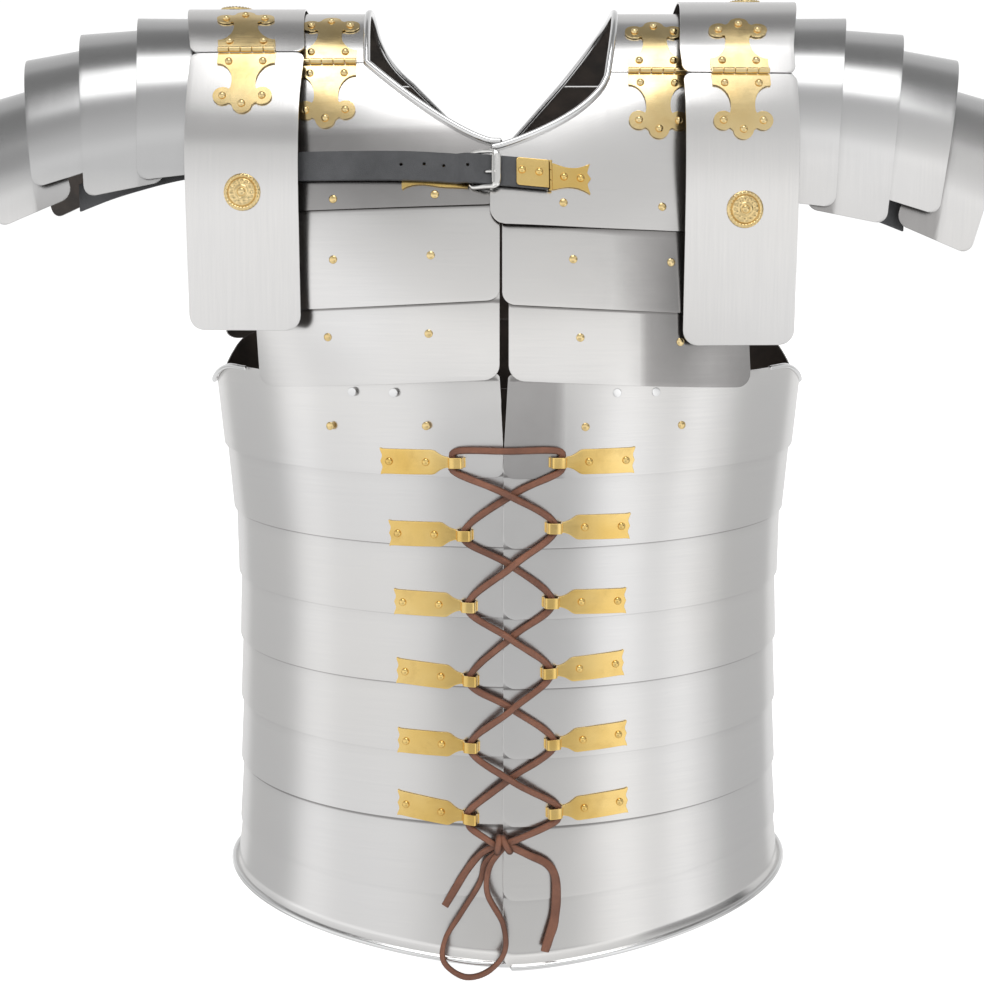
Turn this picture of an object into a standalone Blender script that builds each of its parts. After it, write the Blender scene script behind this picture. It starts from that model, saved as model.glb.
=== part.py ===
"""Roman segmented plate cuirass, worn and empty: steel plates, brass fittings, leather strap and lace.

Metres, +Z up. The front faces -Y. The origin is midway between the shoulders, at the inner face of the
collar plates, where a wearer's shoulders carry the weight. "Left" and "right" are the sides at -X and +X.
Each plate is its own closed wall. What overlaps it is made from the same surface, moved out.
"""

import math

import bmesh
import bpy
from mathutils import Vector

# ---------------------------------------------------------------- driving sizes
STEEL = 0.0012           # thickness of every steel plate
BRASS = 0.0010           # thickness of hinge and fitting plates
AIR = 0.0004             # gap kept between pieces that touch
SHINGLE = 0.0026         # how far a plate's lower edge stands out beyond its upper edge
OVERLAP = 0.011          # height by which each plate covers the next

GIRDLE_CENTRE_X = 0.012  # the girdle hangs a little to +X of the shoulders
GIRDLE_TILT = 0.08       # rise of the hoops per metre towards the back
FRONT_SEAM_X = 0.0075    # where the right-hand hoop ends stop, over the left-hand ends
END_STACK = 0.0042       # distance out of the right-hand hoop ends over the left-hand ends
END_LAP = 0.011          # how far a left-hand hoop end runs on under the right-hand one

SIDES = {"left": -1.0, "right": 1.0}
# The two shoulders sit a little differently: how far each one's lames are slid forwards.
LAME_SLIDE = {"left": -0.0085, "right": 0.0095}
# Neck edges. In front: half width where it meets the joint, lowest height, and the two powers of its
# curve. Behind: half width at the joint and the power of the curve up to the crest.
NECKS = {
    "left": {"front": 0.0843, "low": -0.0954, "curve": 1.3, "end": 1.0, "back": 0.0615, "back_curve": 2.2},
    "right": {"front": 0.0778, "low": -0.1005, "curve": 1.2, "end": 0.6, "back": 0.0540, "back_curve": 1.1},
}

# Body profile in front of the shoulder crest and behind it: depth from the crest, height, half width,
# squareness and centre of the level section, and how far it droops outwards per metre.
FRONT = [
    {"depth": 0.000, "height": 0.000, "half_width": 0.300, "square": 6.0, "centre": 0.000, "droop": 0.00},
    {"depth": 0.045, "height": -0.010, "half_width": 0.290, "square": 5.0, "centre": 0.000, "droop": 0.00},
    {"depth": 0.078, "height": -0.041, "half_width": 0.262, "square": 3.6, "centre": 0.000, "droop": 0.00},
    {"depth": 0.103, "height": -0.085, "half_width": 0.238, "square": 2.8, "centre": 0.000, "droop": 0.01},
    {"depth": 0.123, "height": -0.137, "half_width": 0.226, "square": 2.5, "centre": 0.001, "droop": 0.03},
    {"depth": 0.137, "height": -0.200, "half_width": 0.218, "square": 2.2, "centre": 0.006, "droop": 0.05},
    {"depth": 0.142, "height": -0.260, "half_width": 0.212, "square": 2.0, "centre": 0.011, "droop": 0.05},
    {"depth": 0.142, "height": -0.330, "half_width": 0.209, "square": 2.0, "centre": 0.012, "droop": 0.05},
]
BACK = [
    {"depth": 0.000, "height": 0.000, "half_width": 0.300, "square": 6.0, "centre": 0.000, "droop": 0.00},
    {"depth": 0.045, "height": -0.010, "half_width": 0.290, "square": 5.0, "centre": 0.000, "droop": 0.00},
    {"depth": 0.080, "height": -0.041, "half_width": 0.262, "square": 3.6, "centre": 0.000, "droop": 0.00},
    {"depth": 0.109, "height": -0.085, "half_width": 0.240, "square": 2.8, "centre": 0.000, "droop": 0.00},
    {"depth": 0.131, "height": -0.137, "half_width": 0.229, "square": 2.4, "centre": 0.002, "droop": 0.00},
    {"depth": 0.142, "height": -0.190, "half_width": 0.223, "square": 2.2, "centre": 0.008, "droop": 0.00},
    {"depth": 0.146, "height": -0.240, "half_width": 0.217, "square": 2.0, "centre": 0.012, "droop": 0.00},
    {"depth": 0.146, "height": -0.330, "half_width": 0.209, "square": 2.0, "centre": 0.012, "droop": 0.00},
]

# Girdle hoops, top to bottom: height of the lower edge in front, half width and half depth there, rise
# of the plate per metre outwards on each side, and plate height.
HOOPS = [
    {"low": -0.3140, "wide": 0.2100, "deep": 0.1420, "rise_left": 0.000, "rise_right": 0.000, "tall": 0.070},
    {"low": -0.3610, "wide": 0.2040, "deep": 0.1400, "rise_left": 0.000, "rise_right": 0.000, "tall": 0.060},
    {"low": -0.4095, "wide": 0.2015, "deep": 0.1385, "rise_left": 0.000, "rise_right": 0.000, "tall": 0.060},
    {"low": -0.4575, "wide": 0.2015, "deep": 0.1380, "rise_left": 0.000, "rise_right": 0.000, "tall": 0.060},
    {"low": -0.5065, "wide": 0.2020, "deep": 0.1380, "rise_left": 0.010, "rise_right": 0.010, "tall": 0.060},
    {"low": -0.5545, "wide": 0.2030, "deep": 0.1385, "rise_left": 0.010, "rise_right": 0.010, "tall": 0.060},
    {"low": -0.6070, "wide": 0.2045, "deep": 0.1395, "rise_left": 0.035, "rise_right": 0.065, "tall": 0.062},
    {"low": -0.6537, "wide": 0.2070, "deep": 0.1415, "rise_left": 0.100, "rise_right": 0.115, "tall": 0.060},
]
HOOP_LEAN = {"wide": -0.0065, "deep": 0.0020}   # lean of the top hoop: at the sides, and in front
HOOP_GAP = 0.0008        # clearance between a hoop and the one it lies over
ARM_SCOOP = 0.026        # depth of the hollow cut under each arm in the top hoop
ARM_STEP = 0.0066        # how much of it is reached in front, before the hollow itself
RIM_FLARE = 0.003        # how far the lowest rim turns out
RIM_TALL = 0.006

# Shoulder lames, from the guard outwards: middle of the crest line (outwards, height), its downward slope
# in degrees, arch radius, length of the straight front leg below it and that leg's lean in degrees.
LAMES = [
    {"out": 0.2245, "height": -0.0030, "slope": 6.7, "radius": 0.0900, "leg": 0.0310, "lean": 0.5},
    {"out": 0.2655, "height": -0.0120, "slope": 11.3, "radius": 0.0880, "leg": 0.0330, "lean": 3.0},
    {"out": 0.3055, "height": -0.0270, "slope": 17.2, "radius": 0.0800, "leg": 0.0170, "lean": 6.0},
    {"out": 0.3435, "height": -0.0560, "slope": 23.0, "radius": 0.0720, "leg": 0.0200, "lean": 14.0},
]
LAME_LEAN = {"left": -2.0, "right": 1.5}
LAME_BACK_LEG = 0.003
LAME_TOE = 0.20          # how far the front and back of a lame are drawn in, metres per metre of depth
LAME_WIDTH = 0.056
LAME_FLARE = 7.0         # degrees by which each lame widens outwards

# Inner face of a shoulder guard over the shoulder, back to front: depth before the crest and height,
# middle of the leaf (outwards) and half its width.
GUARD_PATH = [
    {"depth": -0.1270, "height": -0.2150, "out": 0.1630, "half": 0.0375},
    {"depth": -0.1230, "height": -0.1500, "out": 0.1650, "half": 0.0385},
    {"depth": -0.1120, "height": -0.0900, "out": 0.1670, "half": 0.0395},
    {"depth": -0.0900, "height": -0.0430, "out": 0.1690, "half": 0.0400},
    {"depth": -0.0560, "height": -0.0120, "out": 0.1720, "half": 0.0410},
    {"depth": -0.0260, "height": -0.0005, "out": 0.1735, "half": 0.0414},
    {"depth": 0.0000, "height": 0.0030, "out": 0.1735, "half": 0.0416},
    {"depth": 0.0217, "height": 0.0011, "out": 0.1722, "half": 0.0412},
    {"depth": 0.0433, "height": -0.0055, "out": 0.1700, "half": 0.0405},
    {"depth": 0.0627, "height": -0.0172, "out": 0.1672, "half": 0.0396},
    {"depth": 0.0785, "height": -0.0335, "out": 0.1645, "half": 0.0388},
    {"depth": 0.0865, "height": -0.0448, "out": 0.1645, "half": 0.0384},
    {"depth": 0.0969, "height": -0.0618, "out": 0.1652, "half": 0.0381},
    {"depth": 0.1059, "height": -0.0795, "out": 0.1652, "half": 0.0380},
    {"depth": 0.1124, "height": -0.0982, "out": 0.1650, "half": 0.0379},
    {"depth": 0.1172, "height": -0.1276, "out": 0.1646, "half": 0.0377},
    {"depth": 0.1200, "height": -0.1725, "out": 0.1640, "half": 0.0375},
    {"depth": 0.1226, "height": -0.2450, "out": 0.1632, "half": 0.0374},
]
GUARD_CREST = 6          # row of GUARD_PATH at the crest
GUARD_YAW = 0.10         # how much the front leaf turns outwards, metres per metre
# Each guard: how much higher it sits, and lengths along it from the crest to the hinge pin, to the end
# of its front leaf and, backwards, to the end of its top leaf.
GUARDS = {
    "left": {"raise": 0.000, "pin": 0.0912, "front_end": 0.2838, "back_end": 0.200},
    "right": {"raise": 0.005, "pin": 0.1150, "front_end": 0.2986, "back_end": 0.205},
}

# Height at which each collar plate meets its breastplate, and both back plates.
JOINT_FRONT = {"left": -0.0410, "right": -0.0475}
JOINT_BACK = -0.0410
COLLAR_OUT = 0.153       # outer edge of the collar plates
NECK_HALF = 0.0865       # half width of the neck opening at the crest
BACK_NECK_BOTTOM = -0.099

BREAST_STACK = 0.0022    # distance out of the right breastplate's end over the left one's
# Plates of one side of the chest and back: heights of the upper and lower edges, the two inner edges in X,
# the outer edge (outwards, at the upper and at the lower edge), the radius of the lower corners and the
# number of rows of points. RIGHT_SIZES holds what differs on the right.
CHEST_PLATES = [
    {"name": "breastplate", "top": None, "low": -0.1360, "left_end": 0.0070, "right_end": -0.0013,
     "out_top": 0.150, "out_low": 0.160, "corner": 0.010, "rows": 5},
    {"name": "chest_plate_2", "top": -0.126, "low": -0.1978, "left_end": 0.0050, "right_end": 0.0066,
     "out_top": 0.160, "out_low": 0.160, "corner": 0.008, "rows": 3},
    {"name": "chest_plate_3", "top": -0.1865, "low": -0.2488, "left_end": 0.0050, "right_end": 0.0108,
     "out_top": 0.160, "out_low": 0.157, "corner": 0.010, "rows": 3},
]
RIGHT_SIZES = {
    "breastplate": {"low": -0.1490},
    "chest_plate_2": {"low": -0.2000, "out_top": 0.165, "out_low": 0.168},
    "chest_plate_3": {"out_top": 0.172, "out_low": 0.1745},
}
BACK_PLATES = [
    {"name": "upper_back_plate", "top": None, "low": -0.145, "left_end": 0.0010, "right_end": 0.0026,
     "out_top": 0.150, "out_low": 0.172, "corner": 0.010, "rows": 5},
    {"name": "lower_back_plate", "top": -0.134, "low": -0.232, "left_end": 0.0012, "right_end": 0.0028,
     "out_top": 0.170, "out_low": 0.200, "corner": 0.008, "rows": 4},
]

# Places outwards at which every plate of the chest and back has points, so that they bend alike.
PLATE_COLUMNS = [0.020, 0.036, 0.052, 0.068, 0.084, 0.100, 0.114, 0.127, 0.139, 0.150, 0.161, 0.172, 0.183,
                 0.194, 0.204]

HINGE_OUT = 0.1105       # middle of the collar hinges, outwards
HINGE_HALF = 0.0195      # half width of a lobate hinge
HINGE_REACH = 0.0495     # length of each of its two plates
KNUCKLE = 0.0040         # diameter of the hinge knuckles
# Distances from the pin at which a hinge plate has points.
HINGE_ROWS = [0.0, 0.0026, 0.006, 0.013, 0.0175, 0.022, 0.028, 0.0312, 0.0325, 0.0370, 0.0415, 0.0434,
              0.0460, 0.0485, HINGE_REACH]

STRAP_WIDTH = 0.0186
STRAP_THICK = 0.0024
STRAP_TIP = -0.126
STRAP_END = 0.0358
# Middle line of the closing strap and its fittings: place in X and height.
STRAP_LINE = [
    {"x": -0.130, "height": -0.1120},
    {"x": -0.060, "height": -0.1124},
    {"x": -0.015, "height": -0.1150},
    {"x": 0.011, "height": -0.1170},
    {"x": 0.036, "height": -0.1190},
    {"x": 0.070, "height": -0.1205},
]
BUCKLE_PIVOT = -0.0140   # bar of the buckle under the strap
BUCKLE_BAR = 0.0026      # bar of the buckle over the strap
BUCKLE_HALF = 0.0112
BUCKLE_WIRE = 0.0014

HOOK_REACH = 0.0568      # length of a tie hook
HOOK_MIDDLE = 0.0499     # where the lace runs through it, measured from the outer end
HOOK_TUNNEL = 0.0068     # clear height under its raised neck
# Each tie hook, top to bottom: inner end from the girdle's middle, height of the tunnel over the hoop's
# lower edge, and rise of the hook per metre outwards.
TIE_HOOKS = {
    "left": [
        {"gap": 0.0296, "low": 0.0100, "tilt": -0.02}, {"gap": 0.0244, "low": 0.0083, "tilt": -0.02},
        {"gap": 0.0217, "low": 0.0081, "tilt": 0.01}, {"gap": 0.0207, "low": 0.0051, "tilt": 0.07},
        {"gap": 0.0204, "low": 0.0074, "tilt": 0.01}, {"gap": 0.0209, "low": 0.0050, "tilt": 0.13},
    ],
    "right": [
        {"gap": 0.0249, "low": 0.0110, "tilt": -0.01}, {"gap": 0.0225, "low": 0.0143, "tilt": -0.03},
        {"gap": 0.0210, "low": 0.0120, "tilt": -0.04}, {"gap": 0.0203, "low": 0.0118, "tilt": 0.06},
        {"gap": 0.0230, "low": 0.0110, "tilt": 0.05}, {"gap": 0.0244, "low": 0.0105, "tilt": 0.06},
    ],
}

# Outline of a tie hook from its outer end to its raised neck: distance along it, half width, and the
# height of its inner and outer faces above the hoop.
HOOK_OUTLINE = [
    {"along": 0.0000, "half": 0.0086, "under": 0.0004, "over": 0.0014},
    {"along": 0.0040, "half": 0.0084, "under": 0.0004, "over": 0.0014},
    {"along": 0.0200, "half": 0.0084, "under": 0.0004, "over": 0.0014},
    {"along": 0.0362, "half": 0.0084, "under": 0.0004, "over": 0.0014},
    {"along": 0.0408, "half": 0.0052, "under": 0.0004, "over": 0.0014},
    {"along": 0.0440, "half": 0.0036, "under": 0.0004, "over": 0.0016},
    {"along": 0.0456, "half": 0.0036, "under": 0.0068, "over": 0.0080},
    {"along": 0.0556, "half": 0.0036, "under": 0.0068, "over": 0.0080},
    {"along": 0.0557, "half": 0.0034, "under": 0.0004, "over": 0.0080},
    {"along": 0.0568, "half": 0.0032, "under": 0.0004, "over": 0.0077},
]

# Middle line of the leather under the lames in front, from the guard outwards: place outwards, depth
# in front of the crest, and height.
SLEEVE_STRAP = [
    {"out": 0.186, "depth": 0.0790, "height": -0.111},
    {"out": 0.215, "depth": 0.0780, "height": -0.116},
    {"out": 0.240, "depth": 0.0740, "height": -0.122},
    {"out": 0.262, "depth": 0.0670, "height": -0.128},
    {"out": 0.285, "depth": 0.0600, "height": -0.136},
]
SLEEVE_STRAP_THICK = 0.0024
GIRDLE_LEATHER_WIDTH = 0.025
GIRDLE_LEATHER_THICK = 0.0024

LACE = 0.0048            # diameter of the lace
# Route of the lace from its first end to the knot, and from the knot round the loop to its other end.
# Between the two it runs up through the tie hooks, over the top and down again.
LACE_TAIL = [
    (-0.0324, -0.1385, -0.6118), (-0.0262, -0.1388, -0.6010), (-0.0195, -0.1392, -0.5894),
    (-0.0110, -0.1405, -0.5772), (-0.0020, -0.1430, -0.5690),
]
LACE_LOOP = [
    (0.0040, -0.1450, -0.5690), (-0.0050, -0.1418, -0.5800), (-0.0088, -0.1410, -0.5950),
    (-0.0215, -0.1420, -0.6160), (-0.0318, -0.1440, -0.6330), (-0.0330, -0.1485, -0.6480),
    (-0.0190, -0.1495, -0.6585), (-0.0030, -0.1500, -0.6545), (0.0085, -0.1505, -0.6400),
    (0.0075, -0.1500, -0.6200), (-0.0030, -0.1485, -0.5990), (-0.0020, -0.1475, -0.5810),
    (0.0060, -0.1465, -0.5690),
]
LACE_END = [
    (0.0110, -0.1460, -0.5660), (0.0250, -0.1445, -0.5730), (0.0375, -0.1440, -0.5795),
    (0.0432, -0.1437, -0.5890), (0.0440, -0.1437, -0.6050), (0.0425, -0.1450, -0.6200),
    (0.0390, -0.1465, -0.6320), (0.0362, -0.1475, -0.6410),
]
LACE_KNOT = {"middle": (0.0068, -0.1459, -0.5650), "wide": 0.0085, "deep": 0.0062, "tall": 0.0072}
LACE_OVER = 0.0092       # height of the upper strand over the plates where two cross
LACE_UNDER = 0.0038
LACE_CROSSING_X = 0.0128
LACE_TOP_RISE = 0.0078   # how far above the top hooks the lace runs across


# ---------------------------------------------------------------- reading tables and surfaces
def read_row(table, place):
    """Every column of a table at a fractional row number, on smooth curves through the rows."""
    place = min(max(place, 0.0), len(table) - 1.0)
    low = min(int(place), len(table) - 2)
    t = place - low
    before = table[max(low - 1, 0)]
    first = table[low]
    second = table[low + 1]
    after = table[min(low + 2, len(table) - 1)]
    row = {}
    for column in first:
        p0, p1, p2, p3 = (r[column] for r in (before, first, second, after))
        row[column] = p1 + 0.5 * t * (
            p2 - p0 + t * (2 * p0 - 5 * p1 + 4 * p2 - p3 + t * (3 * (p1 - p2) + p3 - p0)))
    return row


def solve(function, wanted, low, high):
    """Where a steadily changing function takes the wanted value."""
    rising = function(high) > function(low)
    for _ in range(40):
        middle = 0.5 * (low + high)
        if (function(middle) < wanted) == rising:
            low = middle
        else:
            high = middle
    return 0.5 * (low + high)


def blend(value, low, high):
    """0 below low, 1 above high, smooth between."""
    t = min(max((value - low) / (high - low), 0.0), 1.0)
    return t * t * (3.0 - 2.0 * t)


def spread(low, high, count):
    """Evenly spaced values with both ends."""
    return [low + (high - low) * i / (count - 1) for i in range(count)]


def lifted(surface, a, b, lift):
    """Point of a surface moved out along its normal. a runs over the shoulder or down, b towards +X."""
    step = 1e-4
    along = surface(a + step, b) - surface(a - step, b)
    across = surface(a, b + step) - surface(a, b - step)
    return surface(a, b) + along.cross(across).normalized() * lift


def joined_profile():
    """The body profile from the foot of the back over the crest to the foot of the front."""
    behind = [dict(row, depth=-row["depth"]) for row in reversed(BACK)]
    return behind + FRONT[1:]


PROFILE = joined_profile()
CREST = len(BACK) - 1


def body(place, x):
    """Point of the body surface: the inner face of the plates where they have no lift."""
    row = read_row(PROFILE, place)
    across = min(abs(x - row["centre"]) / row["half_width"], 0.999)
    bow = (1.0 - across ** row["square"]) ** (1.0 / row["square"])
    return Vector((x, -row["depth"] * bow, row["height"] - row["droop"] * abs(x)))


def front_place(x, height):
    """Place on the front profile where the body surface has this height."""
    return solve(lambda place: body(place, x).z, height, CREST + 0.02, len(PROFILE) - 1.0)


def profile_height(place):
    """Height of the profile itself, with no droop."""
    return read_row(PROFILE, place)["height"]


def length_places(surface, b, start, stop, steps=160):
    """(length, place) pairs along a surface at fixed b, measured from start."""
    pairs = [(0.0, start)]
    last = surface(start, b)
    for place in spread(start, stop, steps)[1:]:
        point = surface(place, b)
        pairs.append((pairs[-1][0] + (point - last).length, place))
        last = point
    return pairs


def place_at_length(pairs, length):
    """Place at a length, from a list that length_places made."""
    for (l0, p0), (l1, p1) in zip(pairs, pairs[1:]):
        if length <= l1:
            return p0 + (p1 - p0) * (length - l0) / (l1 - l0)
    return pairs[-1][1]


# ---------------------------------------------------------------- materials and meshes
def material(name, colour, roughness, metallic):
    """A plain Principled material."""
    result = bpy.data.materials.new(name)
    result.use_nodes = True
    shader = result.node_tree.nodes["Principled BSDF"]
    shader.inputs["Base Color"].default_value = (*colour, 1.0)
    shader.inputs["Roughness"].default_value = roughness
    shader.inputs["Metallic"].default_value = metallic
    return result


def add_object(name, mesh, finish):
    """Put a mesh in the scene as one named object."""
    mesh.materials.append(finish)
    item = bpy.data.objects.new(name, mesh)
    bpy.context.scene.collection.objects.link(item)
    return item


def closed_sheet(name, outer, inner, finish, around=False):
    """One closed wall between two grids of points; around joins the last row to the first."""
    bm = bmesh.new()
    tops = [[bm.verts.new(point) for point in row] for row in outer]
    unders = [[bm.verts.new(point) for point in row] for row in inner]
    rows = len(outer)
    columns = len(outer[0])
    for i in range(rows if around else rows - 1):
        k = (i + 1) % rows
        for j in range(columns - 1):
            bm.faces.new((tops[i][j], tops[i][j + 1], tops[k][j + 1], tops[k][j]))
            bm.faces.new((unders[i][j], unders[k][j], unders[k][j + 1], unders[i][j + 1]))
        for j in (0, columns - 1):
            bm.faces.new((tops[i][j], tops[k][j], unders[k][j], unders[i][j]))
    if not around:
        for i in (0, rows - 1):
            for j in range(columns - 1):
                bm.faces.new((tops[i][j], tops[i][j + 1], unders[i][j + 1], unders[i][j]))
    bmesh.ops.recalc_face_normals(bm, faces=bm.faces)
    mesh = bpy.data.meshes.new(name)
    bm.to_mesh(mesh)
    bm.free()
    mesh.shade_smooth()
    mesh.set_sharp_from_angle(angle=math.radians(35))
    return add_object(name, mesh, finish)


def sheet_on(name, surface, grid, thickness, finish):
    """A wall on a surface. grid holds rows of (a, b, lift), lift being the height of its inner face."""
    outer = [[lifted(surface, a, b, lift + thickness) for a, b, lift in row] for row in grid]
    inner = [[lifted(surface, a, b, lift) for a, b, lift in row] for row in grid]
    return closed_sheet(name, outer, inner, finish)


def corner(distance, radius):
    """How far a rounded corner draws an edge in, at a distance from the side."""
    if distance >= radius:
        return 0.0
    return radius - math.sqrt(radius ** 2 - (radius - distance) ** 2)


def corner_steps(radius):
    """Distances from a side at which a rounded corner needs points."""
    return [0.0, 0.12 * radius, 0.45 * radius, radius]


# ---------------------------------------------------------------- upper plates
def joint_height(side_name, facing):
    """Height of the joint between collar and breastplate (facing 1) or back plate (facing -1)."""
    return JOINT_FRONT[side_name] if facing > 0 else JOINT_BACK


def plate_lift(place, plate):
    """Lift of a chest or back plate: nothing at its upper edge, SHINGLE at its lower edge."""
    top = plate["top"] if plate["top"] is not None else JOINT_BACK
    share = (top - profile_height(place)) / (top - plate["low"])
    return SHINGLE * min(max(share, 0.0), 1.2)


def end_lift(plate, side, x):
    """Extra lift where the right breastplate lies over the left one."""
    if plate["name"] != "breastplate" or side < 0:
        return 0.0
    return BREAST_STACK * (1.0 - blend(x, 0.02, 0.08))


def neck_height(side_name, out, facing):
    """Height of the neck edge at a distance outwards, in front or behind."""
    neck = NECKS[side_name]
    if facing < 0:
        share = min(max(out / neck["back"], 0.0), 1.0)
        return BACK_NECK_BOTTOM + (JOINT_BACK - BACK_NECK_BOTTOM) * share
    share = min(max(out / neck["front"], 0.0), 1.0)
    rise = 1.0 - (1.0 - share ** neck["curve"]) ** neck["end"]
    return neck["low"] + (JOINT_FRONT[side_name] - neck["low"]) * rise


def upper_plate(side_name, shared, facing, finish):
    """One plate of the chest (facing 1) or back (facing -1)."""
    side = SIDES[side_name]
    plate = shared | (RIGHT_SIZES.get(shared["name"], {}) if side > 0 else {})
    low_edge = plate["low"]
    first = side * plate[side_name + "_end"]
    neck = NECKS[side_name]["front" if facing > 0 else "back"]
    low_corner = [0.0] + corner_steps(plate["corner"])[1:]
    columns = [first + step for step in low_corner] + [plate["out_low"] - step for step in low_corner]
    columns += [out for out in PLATE_COLUMNS if columns[3] + 0.006 < out < columns[7] - 0.004]
    if plate["top"] is None:
        columns += [neck * share for share in (0.86, 0.94, 0.98, 1.0)]
    columns.sort()
    grid = [[] for _ in range(plate["rows"])]
    for out in columns:
        x = side * out
        cut = corner(out - first, plate["corner"]) + corner(plate["out_low"] - out, plate["corner"])
        if plate["top"] is not None:
            top = plate["top"]
        elif out < neck:
            top = min(neck_height(side_name, out, facing), joint_height(side_name, facing) - AIR)
        else:
            top = joint_height(side_name, facing) - AIR
        high = solve(profile_height, top, CREST, CREST + facing * 6.99)
        low = solve(profile_height, low_edge + cut, CREST, CREST + facing * 6.99)
        narrow = (plate["out_low"] - plate["out_top"]) * blend(out, 0.5 * plate["out_low"], plate["out_low"])
        for i, share in enumerate(spread(0.0, 1.0, plate["rows"])):
            place = high + (low - high) * share
            edge_x = x - side * narrow * (1.0 - share)
            lift = plate_lift(place, shared) + end_lift(plate, side, edge_x)
            grid[i].append((place, edge_x, lift))
    return sheet_on(f"{plate['name']}_{side_name}", body, grid, STEEL, finish)


def collar_plate(side_name, finish):
    """Collar plate over the shoulder, from the front joint to the back joint."""
    side = SIDES[side_name]
    front = solve(profile_height, joint_height(side_name, 1) + AIR, CREST, CREST + 6.99)
    back = solve(profile_height, joint_height(side_name, -1) + AIR, CREST, CREST - 6.99)
    grid = []
    for place in spread(back, front, 13):
        drop = profile_height(place)
        if place > CREST:
            share = drop / joint_height(side_name, 1)
            neck = NECK_HALF + (NECKS[side_name]["front"] - NECK_HALF) * share
        else:
            share = max(drop / joint_height(side_name, -1), 0.0) ** NECKS[side_name]["back_curve"]
            neck = NECK_HALF + (NECKS[side_name]["back"] - NECK_HALF) * share
        grid.append([(place, side * out, 0.0) for out in spread(neck, COLLAR_OUT, 3)])
    return sheet_on(f"collar_plate_{side_name}", body, grid, STEEL, finish)


# ---------------------------------------------------------------- hinges
def hinge_half_width(distance):
    """Half width of a lobate hinge plate at a distance from its pin: flared foot, neck and three lobes."""
    foot = 0.009 + (HINGE_HALF - 0.009) * (1.0 - blend(distance, 0.013, 0.028))
    lobe = 0.0065
    side_lobe = 0.0
    if abs(distance - 0.0375) < lobe:
        side_lobe = HINGE_HALF - lobe + math.sqrt(lobe ** 2 - (distance - 0.0375) ** 2)
    tip = math.sqrt(max(lobe ** 2 - max(distance - (HINGE_REACH - lobe), 0.0) ** 2, 0.0))
    reach = foot if distance < 0.0375 else tip
    return max(reach, side_lobe, tip if distance > 0.0375 else 0.0, 0.0012)


def lobate_hinge(name, surface, b_middle, pairs, pin_length, lift_of, finish):
    """A hinge laid over a joint: two lobed plates and the knuckle between them, all in one strip."""
    outer = []
    inner = []
    distances = [-d for d in reversed(HINGE_ROWS[1:])] + HINGE_ROWS
    for distance in distances:
        place = place_at_length(pairs, pin_length + distance)
        half = hinge_half_width(abs(distance))
        bump = max(KNUCKLE - BRASS, 0.0) if abs(distance) < 0.001 else 0.0
        lift = lift_of(place) + STEEL + AIR
        across = [b_middle + half * share for share in (-1.0, 0.0, 1.0)]
        outer.append([lifted(surface, place, b, lift + BRASS + bump) for b in across])
        inner.append([lifted(surface, place, b, lift) for b in across])
    return closed_sheet(name, outer, inner, finish)


def collar_hinge(side_name, facing, finish):
    """Hinge between the collar plate and the breastplate (facing 1) or the upper back plate (-1)."""
    x = SIDES[side_name] * HINGE_OUT
    plate = CHEST_PLATES[0] if facing > 0 else BACK_PLATES[0]
    pairs = length_places(body, x, CREST, CREST + facing * 5.0)
    joint = solve(profile_height, joint_height(side_name, facing), CREST, CREST + facing * 6.99)
    pin = next(length for length, place in pairs if (place - joint) * facing >= 0.0)

    def lift_of(place):
        return plate_lift(place, plate)

    name = f"collar_hinge_{'front' if facing > 0 else 'back'}_{side_name}"
    return lobate_hinge(name, body, x, pairs, pin, lift_of, finish)


# ---------------------------------------------------------------- shoulder guards
def guard_surface(side_name):
    """Inner face of a guard: place along GUARD_PATH and X from the leaf's middle."""
    side = SIDES[side_name]

    def surface(place, b):
        row = read_row(GUARD_PATH, place)
        yaw = GUARD_YAW * blend(row["depth"], 0.0, 0.12) * side * b
        height = row["height"] + GUARDS[side_name]["raise"]
        return Vector((side * row["out"] + b, -row["depth"] + yaw, height))
    return surface


def guard_pairs(surface):
    """(length, place) pairs along the guard, with lengths counted from the crest, forwards positive."""
    forwards = length_places(surface, 0.0, GUARD_CREST, len(GUARD_PATH) - 1.0)
    backwards = length_places(surface, 0.0, GUARD_CREST, 0.0)
    return [(-length, place) for length, place in reversed(backwards[1:])] + forwards


def guard_leaf(side_name, name, start, stop, rows, corner_start, corner_stop, finish):
    """One leaf of a shoulder guard between two lengths along it, with rounded corners."""
    surface = guard_surface(side_name)
    pairs = guard_pairs(surface)
    grid = []
    lengths = [start + step for step in corner_steps(corner_start)]
    lengths += spread(start + corner_start, stop - corner_stop, rows)[1:-1]
    lengths += [stop - step for step in reversed(corner_steps(corner_stop))]
    for length in lengths:
        place = place_at_length(pairs, length)
        cut = corner(length - start, corner_start) + corner(stop - length, corner_stop)
        half = read_row(GUARD_PATH, place)["half"] - cut
        grid.append([(place, b, 0.0) for b in (-half, 0.0, half)])
    return sheet_on(f"{name}_{side_name}", surface, grid, STEEL, finish)


def shoulder_guard(side_name, steel, brass):
    """Guard over the shoulder: a top leaf that runs on down the back, a front leaf and their hinge."""
    sizes = GUARDS[side_name]
    pin = sizes["pin"]
    guard_leaf(side_name, "guard_top", -sizes["back_end"], pin - AIR, 14, 0.010, 0.006, steel)
    guard_leaf(side_name, "guard_front", pin + AIR, sizes["front_end"], 11, 0.006, 0.010, steel)
    surface = guard_surface(side_name)
    pairs = guard_pairs(surface)
    lobate_hinge(f"guard_hinge_{side_name}", surface, 0.0, pairs, pin, lambda place: 0.0, brass)


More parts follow.
